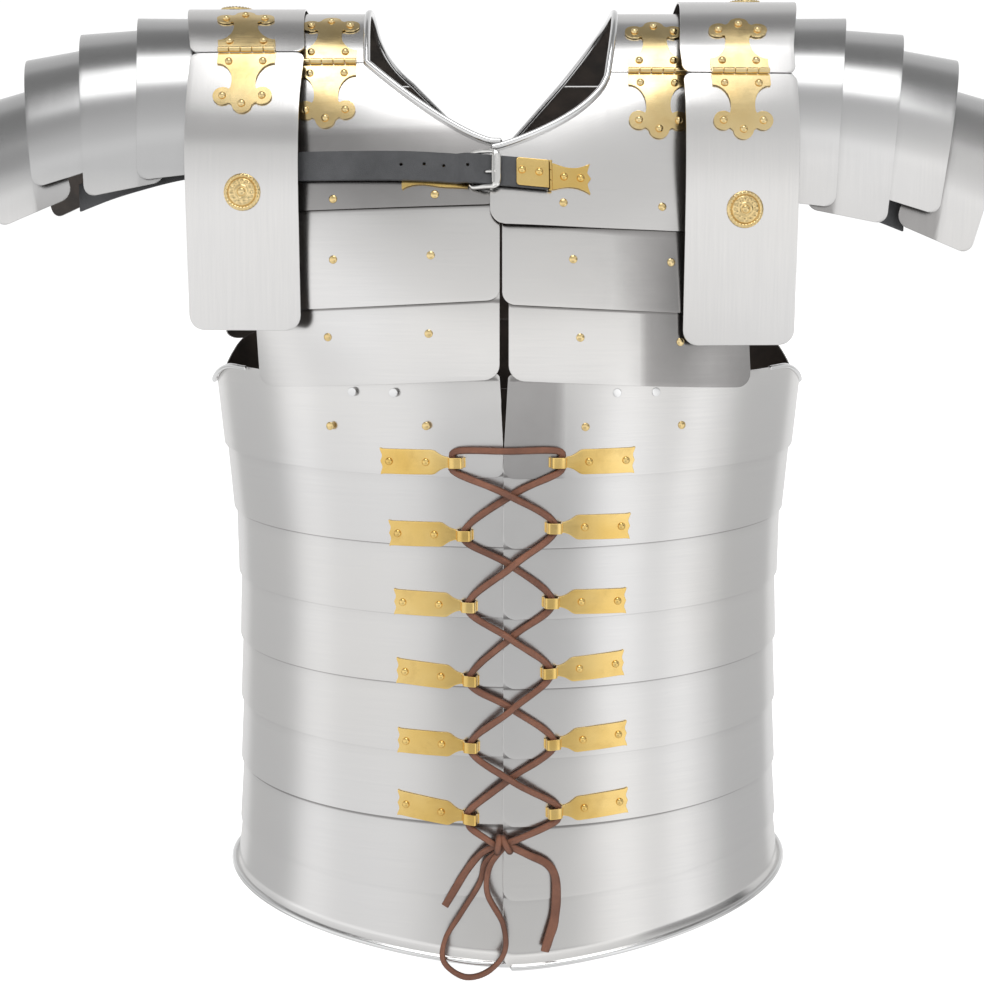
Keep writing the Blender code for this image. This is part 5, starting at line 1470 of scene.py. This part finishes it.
# ---------------------------------------------------------------- tie hooks
def hook_spot(side_name, number, along, offset, lift):
    """Point of a tie hook: distance along it from its outer end, offset down and lift off the hoop."""
    side = SIDES[side_name]
    hook = TIE_HOOKS[side_name][number]
    turn = turn_at(number, GIRDLE_CENTRE_X + side * (hook["gap"] + HOOK_REACH - along))
    turn += 2.0 * math.pi if side < 0 else 0.0
    middle = HOOPS[number]["tall"] - hook["low"] - hook["tilt"] * (HOOK_MIDDLE - along)
    return lifted(hoop_surface(number), middle + offset, turn, lift)


def fishtail(share):
    """How far the outer end of a hook is notched: a tooth at each corner and a small one between."""
    return 0.0016 * max(1.0 - abs(abs(share) - 0.42) / 0.46, 0.0)


def tie_hook(side_name, number):
    """A brass tie hook: a riveted plate with a fishtail end and a raised neck for the lace."""
    outer = []
    inner = []
    for i, (along, half, lift) in enumerate(HOOK_PATH):
        before, _, after, _ = around(HOOK_PATH, i)
        way = Vector((after[0] - before[0], after[2] - before[2])).normalized()
        for face, shift in ((outer, 0.5 * BRASS), (inner, -0.5 * BRASS)):
            line = []
            for share in spread(-1.0, 1.0, 13):
                notched = along + fishtail(share) * max(1.0 - i / 4.0, 0.0)
                line.append(hook_spot(side_name, number, notched - way.y * shift, half * share,
                                      lift + way.x * shift))
            face.append(line)
    node = f"tie_hook_{number + 1}_{side_name}"
    put(wall(f"{node}_plate", outer, inner, [BRASS_LOOK], round_edge=0.0002), "brass", node)
    spots = []
    for along in HOOK_RIVETS:
        foot, top = (hook_spot(side_name, number, along, 0.0, lift) for lift in (0.0, 0.0014))
        spots.append((top, (top - foot).normalized()))
    rivets(f"{node}_rivets", spots, DOMED_RIVET, BRASS_LOOK, "brass")


# ---------------------------------------------------------------- closure at the throat
def strap_height(x):
    """Height of the middle line of the closing strap."""
    place = solve(lambda place: read_row(STRAP_LINE, place)["x"], x, 0.0, len(STRAP_LINE) - 1)
    return read_row(STRAP_LINE, place)["height"]


def breast_face(place, x):
    """Lift of the breastplates' outer face along the strap, easing up onto the right-hand plate."""
    step = BREAST_STACK * blend(x, -0.013, -0.0025) * (1.0 - blend(x, *BREAST_EASE))
    return plate_lift(place, CHEST_PLATES[0]) + step + STEEL


def strap_lift(place, x):
    """Lift of the strap's inner face: over the left-hand fitting and over the buckle's pivot bar."""
    hump = 0.0028 * (1.0 - blend(abs(x - BUCKLE_PIVOT), 0.002, 0.010))
    return breast_face(place, x) + BRASS + 2.0 * AIR + hump


def strap_spot(x, offset, lift_of, more=0.0):
    """Point and normal at a place along the strap line, with a lift and something more."""
    place = body_place(x, strap_height(x) + offset, 1)
    return spot_on(body, place, x, lift_of(place, x) + more)


def on_strap(x, offset):
    """Place just over the strap."""
    return strap_spot(x, offset, strap_lift, STRAP_THICK + AIR)


def on_plate(x, offset):
    """Place just over the breastplates."""
    return strap_spot(x, offset, breast_face, AIR)


def strap_blank():
    """The strap before its holes are punched."""
    tip = STRAP_TIP - STRAP_RUN_ON
    columns = [tip + step for step in corner_steps(STRAP_CORNER)]
    columns += dense(tip + STRAP_CORNER, STRAP_END, STRAP_STEP)[1:]
    outer = []
    inner = []
    for x in columns:
        reach = 0.5 * STRAP_WIDTH - corner(x - tip, STRAP_CORNER)
        spots = [strap_spot(x, offset, strap_lift) for offset in spread(reach, -reach, 15)]
        outer.append([point + normal * STRAP_THICK for point, normal in spots])
        inner.append([point for point, normal in spots])
    return wall("closing_strap_leather", outer, inner, [LEATHER, LEATHER_EDGE], round_edge=SOFT_EDGE)


def closing_strap():
    """Leather strap from its free end under the left guard to the right-hand fitting, with its holes."""
    hole = 0.0011
    strap = strap_blank()
    bm = bmesh.new()
    for x, up in STRAP_HOLES:
        point, normal = strap_spot(x, up, strap_lift)
        add_turned(bm, point, normal, [(hole, -0.001), (hole, 0.006), (0.0, 0.006)], sides=18)
    turn_outwards(bm)
    punch = finish_mesh("punch", bm, [LEATHER_EDGE])
    cut = strap.modifiers.new("holes", "BOOLEAN")
    cut.operation = "DIFFERENCE"
    cut.solver = "EXACT"
    cut.object = punch
    strap.modifiers.move(1, 0)
    bpy.context.view_layer.objects.active = strap
    bpy.ops.object.modifier_apply(modifier="holes")
    bpy.data.objects.remove(punch, do_unlink=True)
    put(strap, "black_leather", "closing_strap")


def right_fitting():
    """Folded brass plate over the strap's end, its knuckle and the fishtail plate on the breastplate."""
    end = STRAP_END + 0.0009
    cover = [(0.0175, -0.0088), (end, -0.0088), (end, 0.0088), (0.0175, 0.0088), (0.0163, 0.0083),
             (0.0157, 0.0072), (0.0157, 0.0), (0.0157, -0.0072), (0.0163, -0.0083)]
    laid_plate("closure_cover", [cover], on_strap, BRASS_LOOK, ["closure_plate_right"], 0.0003)
    edge = [(0.0393, 0.0085), (0.0410, 0.0082), (0.0440, 0.0073), (0.0470, 0.0066), (0.0500, 0.0062),
            (0.0530, 0.0062), (0.0560, 0.0066), (0.0590, 0.0075), (0.0620, 0.0088), (0.0641, 0.0099)]
    teeth = [(0.0634, 0.0080), (0.0626, 0.0055), (0.0622, 0.0036), (0.0634, 0.0016), (0.0645, 0.0)]
    half = edge + teeth
    outline = half + [(x, -offset) for x, offset in reversed(half[:-1])]
    laid_plate("closure_fishtail", [outline], on_plate, BRASS_LOOK, [])
    bm = bmesh.new()
    ends = []
    for offset in (-0.0098, 0.0098):
        point, normal = strap_spot(STRAP_END + 0.0021, offset, breast_face)
        ends.append(point + normal * 0.0027)
    barrel_segments(bm, ends[0], ends[1], 0.0013, 3)
    for x, offset, spot in ((0.0194, 0.0009, on_strap), (0.0305, 0.0006, on_strap),
                            (0.0468, 0.0002, on_plate), (0.0577, 0.0, on_plate)):
        point, normal = spot(x, offset)
        add_turned(bm, point + normal * BRASS, normal, dome(*DOMED_RIVET))
    put(finish_mesh("closure_pins", bm, [BRASS_LOOK]), "brass")


def left_fitting():
    """Brass plate with hollow edges on the left breastplate, which holds the buckle's pivot."""
    end = BUCKLE_PIVOT - BUCKLE_WIRE - AIR
    edge = [(-0.0588, 0.0138), (-0.0583, 0.0146), (-0.0575, 0.0139), (-0.0553, 0.0127), (-0.0520, 0.0116),
            (-0.0485, 0.0110), (-0.0446, 0.0108), (-0.0410, 0.0110), (-0.0370, 0.0114), (-0.0331, 0.0118),
            (-0.0327, 0.0114), (-0.0323, 0.0118), (-0.0300, 0.0117), (-0.0220, 0.0114), (end, 0.0112)]
    outline = [(x, -offset) for x, offset in edge]
    outline += [(x, min(offset, 0.0086)) for x, offset in reversed(edge)]
    laid_plate("closure_plate_hollow", [outline], on_plate, BRASS_LOOK, ["closure_plate_left"])


def buckle_route():
    """The buckle's wire once round, as (point, normal, width).

    The pivot bar lies under the strap and the flat end bar over it, with an arm past each of its edges.
    """
    low = AIR + BUCKLE_WIRE
    high = BRASS + 2.0 * AIR + STRAP_THICK + AIR + BUCKLE_WIRE + 0.0003
    bend = 0.0030
    cut = 0.3 * bend
    half = BUCKLE_HALF
    route = [
        (BUCKLE_PIVOT, 0.0, low, 1.0),
        (BUCKLE_PIVOT, half - bend, low, 1.0),
        (BUCKLE_PIVOT + cut, half - cut, low + 0.0003, 1.0),
        (BUCKLE_PIVOT + bend, half, low + 0.0010, 1.0),
        (BUCKLE_BAR - bend, half, high - 0.0010, 1.0),
        (BUCKLE_BAR - cut, half - cut, high - 0.0002, 1.4),
        (BUCKLE_BAR, half - bend, high, 2.1),
        (BUCKLE_BAR, 0.0, high, 2.2),
    ]
    route += [(x, -up, lift, wide) for x, up, lift, wide in reversed(route[1:-1])]
    route = [Vector(values) for values in route]
    closed = route[-1:] + route + route[:2]
    values = smooth_route(closed, [[0.0, 0.25, 0.5, 0.75]] * (len(closed) - 1))[4:-5]
    return [(*strap_spot(x, up, breast_face, lift), wide) for x, up, lift, wide in values]


def buckle():
    """Buckle frame of flattened wire and its prong, which comes out of the strap's last hole."""
    points = buckle_route()
    rings = []
    bm = bmesh.new()
    for i, (point, normal, wide) in enumerate(points):
        along = (points[(i + 1) % len(points)][0] - points[i - 1][0]).normalized()
        across = along.cross(normal).normalized()
        out = across.cross(along).normalized()
        ring = []
        for t in turns_round(14):
            ring.append(bm.verts.new(point + squared(t, 3.0) * BUCKLE_WIRE * (
                across * wide * math.cos(t) + out * 0.85 * math.sin(t))))
        rings.append(ring)
    join_rings(bm, rings, closed=True)
    prong = []
    for before, lift in ((0.0069, -0.0016), (0.0063, -0.0003), (0.0048, 0.0006), (0.0020, 0.0014),
                         (0.0004, 0.0030)):
        point, normal = strap_spot(BUCKLE_BAR - before, PRONG_OFFSET, strap_lift)
        prong.append(point + normal * (STRAP_THICK + AIR + lift))
    add_tube(bm, smooth_route(prong, [[0.0, 0.33, 0.66]] * 4), PRONG_RADIUS, sides=10)
    turn_outwards(bm)
    put(finish_mesh("buckle_frame", bm, [BUCKLE_LOOK], sharp=60.0), "buckle_metal", "buckle")


# ---------------------------------------------------------------- leathers inside
def sleeve_strap(side_name):
    """Leather that carries the front ends of the lames, along their inner faces."""
    side = SIDES[side_name]
    slide = 0.75 * LAME_SLIDE[side_name]

    def surface(down, b):
        row = read_row(SLEEVE_STRAP, side * b / SLEEVE_ROW)
        return Vector((side * row["out"], -row["depth"], row["height"] - slide - down))

    last = SLEEVE_ROW * (len(SLEEVE_STRAP) - 1)
    grid = []
    for down in spread(-0.5 * STRAP_WIDTH, 0.5 * STRAP_WIDTH, 9):
        grid.append([(down, side * along, 0.0) for along in dense(0.0005, last - 0.0005, FINE_STEP)])
    node = f"sleeve_strap_{side_name}"
    leather = wall_on(f"{node}_leather", surface, grid, INNER_LEATHER_THICK, [LEATHER, LEATHER_EDGE],
                      round_edge=SOFT_EDGE)
    put(leather, "black_leather", node)


def leather_line(number, down, middle, around_by, lift):
    """Points across a girdle leather, under a hoop at a distance below its upper edge."""
    reach = 0.5 * GIRDLE_LEATHER_WIDTH
    turns = [turn_at(number, middle + across) + around_by for across in spread(-reach, reach, 7)]
    return [lifted(hoop_surface(number), down, turn, lift) for turn in turns]


def girdle_leather(side_name):
    """Leather inside the girdle, behind the tie hooks, touching the upper edge of every hoop."""
    side = SIDES[side_name]
    middle = GIRDLE_CENTRE_X + side * GIRDLE_LEATHER_OUT
    around_by = 2.0 * math.pi if side < 0 else 0.0
    places = [(number, 0.0) for number in range(len(HOOPS))]
    places.append((len(HOOPS) - 1, HOOPS[-1]["tall"] - 0.012))
    faces = []
    for lift in (-STEEL - 2.0 * AIR, -STEEL - 2.0 * AIR - INNER_LEATHER_THICK):
        lines = [leather_line(number, down, middle, around_by, lift) for number, down in places]
        face = []
        for first, second in zip(lines, lines[1:]):
            for share in spread(0.0, 1.0, 9)[:-1]:
                face.append([a.lerp(b, share) for a, b in zip(first, second)])
        faces.append(face + lines[-1:])
    node = f"girdle_leather_{side_name}"
    leather = wall(f"{node}_strip", *faces, [LEATHER, LEATHER_EDGE], round_edge=SOFT_EDGE)
    put(leather, "black_leather", node)


# ---------------------------------------------------------------- lace
def hook_point(side_name, number):
    """Where the lace passes through a tie hook."""
    return hook_spot(side_name, number, HOOK_MIDDLE, 0.0, 0.5 * HOOK_TUNNEL)


def crossing_point(number, lift):
    """Where two strands cross, between a hoop's tie hooks and the next hoop's."""
    above = hook_point("right", number)
    below = hook_point("right", number + 1)
    surface = hoop_surface(number + 1)
    turn = turn_at(number + 1, LACE_CROSSING_X)
    down = surface(0.0, turn).z - 0.5 * (above.z + below.z)
    return lifted(surface, down, turn, lift)


def lace_strand(sides, lift):
    """Points of the strand that passes one hook of each pair, from the top pair down to the last."""
    last = len(TIE_HOOKS["left"]) - 1
    points = []
    for number in range(last + 1):
        side_name = sides[number % 2]
        hook = hook_point(side_name, number)
        inwards = -LACE_BEND["inwards"] * SIDES[side_name]
        if number == last:
            points.append(hook + Vector((inwards, -LACE_BEND["forwards"], LACE_BEND["above"])))
        points.append(hook)
        if number in (0, last):
            points.append(hook + Vector((inwards, -LACE_BEND["forwards"], -LACE_BEND["below"])))
        if number < last:
            points.append(crossing_point(number, lift))
    return points


def lace_route():
    """Points of the lace from the knot up through the hooks, over the top and down to the knot."""
    upper = list(reversed(lace_strand(["left", "right"], LACE_OVER)))
    lower = lace_strand(["right", "left"], LACE_UNDER)
    knot = Vector(LACE_KNOT["middle"])
    reach = LACE_KNOT["wide"] + 0.0003
    start = knot + Vector((reach, 0.0, 0.0030))
    end = knot + Vector((-reach, 0.0, 0.0025))
    top_left = upper[-1] + Vector((0.0014, -0.0014, LACE_TOP_RISE))
    top_right = lower[0] + Vector((-0.0014, -0.0014, LACE_TOP_RISE))
    over = 0.5 * (top_left + top_right) + Vector((0.0, -0.0038, 0.0004))
    return [start] + upper + [top_left, over, top_right] + lower + [end]


def shaped(points, shapes):
    """Points with half width, half thickness and twist, read evenly from a few such shapes."""
    result = []
    for i, point in enumerate(points):
        row = read_row(shapes, (len(shapes) - 1.0) * i / max(len(points) - 1, 1))
        result.append(Vector((*point, row["wide"], row["thick"], row["twist"])))
    return result


def lace_values():
    """Closely spaced points of the whole lace, each with half width, half thickness and twist."""
    route = shaped(LACE_TAIL, TAIL_SHAPE) + shaped(lace_route(), STRAND_SHAPE)
    route += shaped(LACE_LOOP, LOOP_SHAPE) + shaped(LACE_END, END_SHAPE)
    steps = []
    for first, second in zip(route, route[1:]):
        count = max(2, int(math.dist(first[:3], second[:3]) / LACE_STEP))
        steps.append([i / count for i in range(count)])
    return smooth_route(route, steps)


def lace_ring(point, side, out, wide, thick, twist):
    """Section of the lace: a rounded strip with a crease on each face, a little uneven."""
    twist += 0.35 * noise.noise(point * 60.0)
    wide *= 1.0 + 0.10 * noise.noise(point * 95.0)
    ring = []
    for t in turns_round(20):
        squash = squared(t, 2.6)
        crease = 1.0 - 0.30 * math.exp(-((math.cos(t) - 0.12) / 0.16) ** 2)
        u = wide * squash * math.cos(t)
        v = thick * squash * crease * math.sin(t)
        a = u * math.cos(twist) - v * math.sin(twist)
        b = u * math.sin(twist) + v * math.cos(twist)
        ring.append(point + side * a + out * b)
    return ring


def lace():
    """The lace in one run: a tail, through the knot and the hooks, back to the knot, a loop, a tail."""
    values = lace_values()
    points = [Vector(value[:3]) for value in values]
    bm = bmesh.new()
    rings = []
    side = Vector((0.0, 0.0, 1.0))
    for i, (point, value) in enumerate(zip(points, values)):
        along = (points[min(i + 1, len(points) - 1)] - points[max(i - 1, 0)]).normalized()
        facing = Vector((0.35 * (point.x - GIRDLE_CENTRE_X) / 0.14, -1.0, 0.0)).normalized()
        wanted = along.cross(facing)
        if wanted.length > 0.3:
            wanted.normalize()
            side = wanted if wanted.dot(side) >= 0.0 or i < 2 else side.lerp(wanted, 0.35)
        side = (side - along * side.dot(along)).normalized()
        ring = lace_ring(point, side, side.cross(along), *value[3:])
        rings.append([bm.verts.new(spot) for spot in ring])
    join_rings(bm, rings)
    bm.faces.new(rings[0])
    bm.faces.new(rings[-1])
    turn_outwards(bm)
    cord = finish_mesh("lace_thong", bm, [THONG], sharp=70.0)
    put(cord, "brown_leather", "lace", "lace_bow")
    knot_wraps()


def knot_wraps():
    """The two turns of the knot over the strands that pass through it."""
    bm = bmesh.new()
    middle = Vector(LACE_KNOT["middle"])
    tall = LACE_KNOT["tall"] - 0.0022
    deep = LACE_KNOT["deep"] - 0.0020
    for x, lean, size in ((-0.0026, 0.15, 1.0), (0.0030, -0.55, 0.90)):
        ring = []
        for t in turns_round(28):
            up = math.sin(t) * tall * size
            ring.append(middle + Vector((x + lean * up, -math.cos(t) * deep * size, up)))
        add_tube(bm, ring, 0.5 * LACE, sides=16, closed=True)
    turn_outwards(bm)
    return put(finish_mesh("lace_knot", bm, [THONG]), "brown_leather")


# ---------------------------------------------------------------- studio
def add_object(name, data):
    """An object in the scene that isn't a piece of the armour."""
    item = bpy.data.objects.new(name, data)
    bpy.context.scene.collection.objects.link(item)
    return item


def camera():
    """The camera, in front of the armour and looking slightly down."""
    data = bpy.data.cameras.new("camera")
    data.lens = 59.27
    data.sensor_width = 36.0
    item = add_object("camera", data)
    item.location = (0.0, -1.2, -0.163)
    item.rotation_euler = (math.radians(90.0) - 0.15, 0.0, 0.0)
    bpy.context.scene.camera = item


def floor():
    """A wide pale floor."""
    mesh = bpy.data.meshes.new("floor")
    corners = [(-1.0, -1.0), (1.0, -1.0), (1.0, 1.0), (-1.0, 1.0)]
    mesh.from_pydata([(x * FLOOR_HALF, y * FLOOR_HALF, 0.0) for x, y in corners], [], [(0, 1, 2, 3)])
    result, tree, shader = new_material("pale_floor", (0.92, 0.92, 0.92), 0.9, 0.0)
    colour = mixed(tree, noise_of(tree, 3.0), (0.91, 0.91, 0.91), (0.93, 0.93, 0.93))
    dress(tree, shader, Base_Color=colour, Emission_Color=(1.0, 1.0, 1.0), Emission_Strength=0.65)
    mesh.materials.append(result)
    item = add_object("floor", mesh)
    item.location.z = FLOOR_HEIGHT
    item.visible_glossy = False


def direction(azimuth, elevation):
    """Unit vector of a direction, azimuth 0 in front and 90 at +X, in degrees."""
    a = math.radians(azimuth)
    e = math.radians(elevation)
    return Vector((math.sin(a) * math.cos(e), -math.cos(a) * math.cos(e), math.sin(e)))


def sky_tones(tree, place):
    """Colour of the studio by elevation."""
    height = parts_of(tree, place.outputs["Generated"])["Z"]
    tones = add_node(tree, "ShaderNodeValToRGB")
    tree.links.new(calc(tree, "MULTIPLY_ADD", height, 0.5, 0.5), tones.inputs["Fac"])
    ramp = tones.color_ramp
    ramp.interpolation = "EASE"
    while len(ramp.elements) > 1:
        ramp.elements.remove(ramp.elements[-1])
    for i, (elevation, tone) in enumerate(STUDIO_TONES):
        spot = 0.5 + 0.5 * math.sin(math.radians(elevation))
        element = ramp.elements[0] if i == 0 else ramp.elements.new(spot)
        element.position = spot
        element.color = (tone, tone, tone, 1.0)
    return tones.outputs["Color"]


def panel(tree, place, azimuth, elevation, wide, tall, edge, strength):
    """A soft rectangle of light in the world, sizes in degrees: its strength inside, 0 outside."""
    middle = direction(azimuth, elevation)
    across = Vector((math.cos(math.radians(azimuth)), math.sin(math.radians(azimuth)), 0.0))
    front = dot_with(tree, place, middle)
    cover = strength
    for axis, size in ((across, wide), (across.cross(middle), tall)):
        angle = calc(tree, "ARCTAN2", calc(tree, "ABSOLUTE", dot_with(tree, place, axis)), front)
        low, high = (math.radians(0.5 * size + way * 0.5 * edge) for way in (-1.0, 1.0))
        cover = calc(tree, "MULTIPLY", ranged(tree, angle, 1.0, 0.0, low, high, "SMOOTHSTEP"), cover)
    return cover


def dot_with(tree, place, axis):
    """How far the looked-at direction goes along an axis."""
    dot = add_node(tree, "ShaderNodeVectorMath", operation="DOT_PRODUCT")
    tree.links.new(place.outputs["Generated"], dot.inputs[0])
    dot.inputs[1].default_value = axis
    return dot.outputs["Value"]


def studio_light():
    """The studio as the steel mirrors it: tones from below to above and soft panels round the armour."""
    world = bpy.data.worlds.new("studio")
    world.use_nodes = True
    bpy.context.scene.world = world
    tree = world.node_tree
    ground = tree.nodes["Background"]
    place = add_node(tree, "ShaderNodeTexCoord")
    total = sky_tones(tree, place)
    for sizes in PANELS:
        total = mixed(tree, 1.0, total, panel(tree, place, *sizes), "ADD")
    tree.links.new(total, ground.inputs["Color"])
    white = add_node(tree, "ShaderNodeBackground", Color=(1.0, 1.0, 1.0, 1.0), Strength=1.05)
    seen = add_node(tree, "ShaderNodeLightPath")
    pick = add_node(tree, "ShaderNodeMixShader")
    tree.links.new(seen.outputs["Is Camera Ray"], pick.inputs["Fac"])
    tree.links.new(ground.outputs["Background"], pick.inputs[1])
    tree.links.new(white.outputs["Background"], pick.inputs[2])
    tree.links.new(pick.outputs["Shader"], tree.nodes["World Output"].inputs["Surface"])


def area_light(name, azimuth, elevation, power):
    """A soft square light that aims at the middle of the armour."""
    distance = 2.2
    data = bpy.data.lights.new(name, "AREA")
    data.shape = "SQUARE"
    data.size = 1.2
    data.energy = power
    item = add_object(name, data)
    away = direction(azimuth, elevation)
    item.location = Vector(ARMOUR_MIDDLE) + away * distance
    item.rotation_euler = away.to_track_quat("Z", "Y").to_euler()
    item.visible_glossy = False


# ---------------------------------------------------------------- build
def shoulder(side_name):
    """Everything of one side above the girdle, and the leather behind the tie hooks."""
    collar_plate(side_name)
    neck_rim(side_name)
    for plates, facing in ((CHEST_PLATES, 1), (BACK_PLATES, -1)):
        for number in range(len(plates)):
            upper_plate(side_name, plates, number, facing)
    collar_hinge(side_name, 1)
    collar_hinge(side_name, -1)
    shoulder_guard(side_name)
    for number, lame in enumerate(LAMES):
        shoulder_lame(side_name, number + 1, lame)
    sleeve_strap(side_name)
    girdle_leather(side_name)


def main():
    """Everything in turn: camera and lace first, then the plates and their fittings, then the studio."""
    camera()
    lace()
    for side_name in SIDES:
        shoulder(side_name)
    for number in range(len(HOOPS)):
        girdle_hoop(number)
        if number < len(TIE_HOOKS["left"]):
            for side_name in SIDES:
                tie_hook(side_name, number)
    arm_rims()
    hem_rim()
    chest_rivets()
    hoop_rivets()
    back_rivets()
    closing_strap()
    left_fitting()
    buckle()
    right_fitting()
    floor()
    studio_light()
    area_light("key_light", -35.0, 40.0, 28.0)
    area_light("fill_light", 40.0, 30.0, 18.0)
    bpy.context.scene.view_settings.view_transform = "Standard"


main()
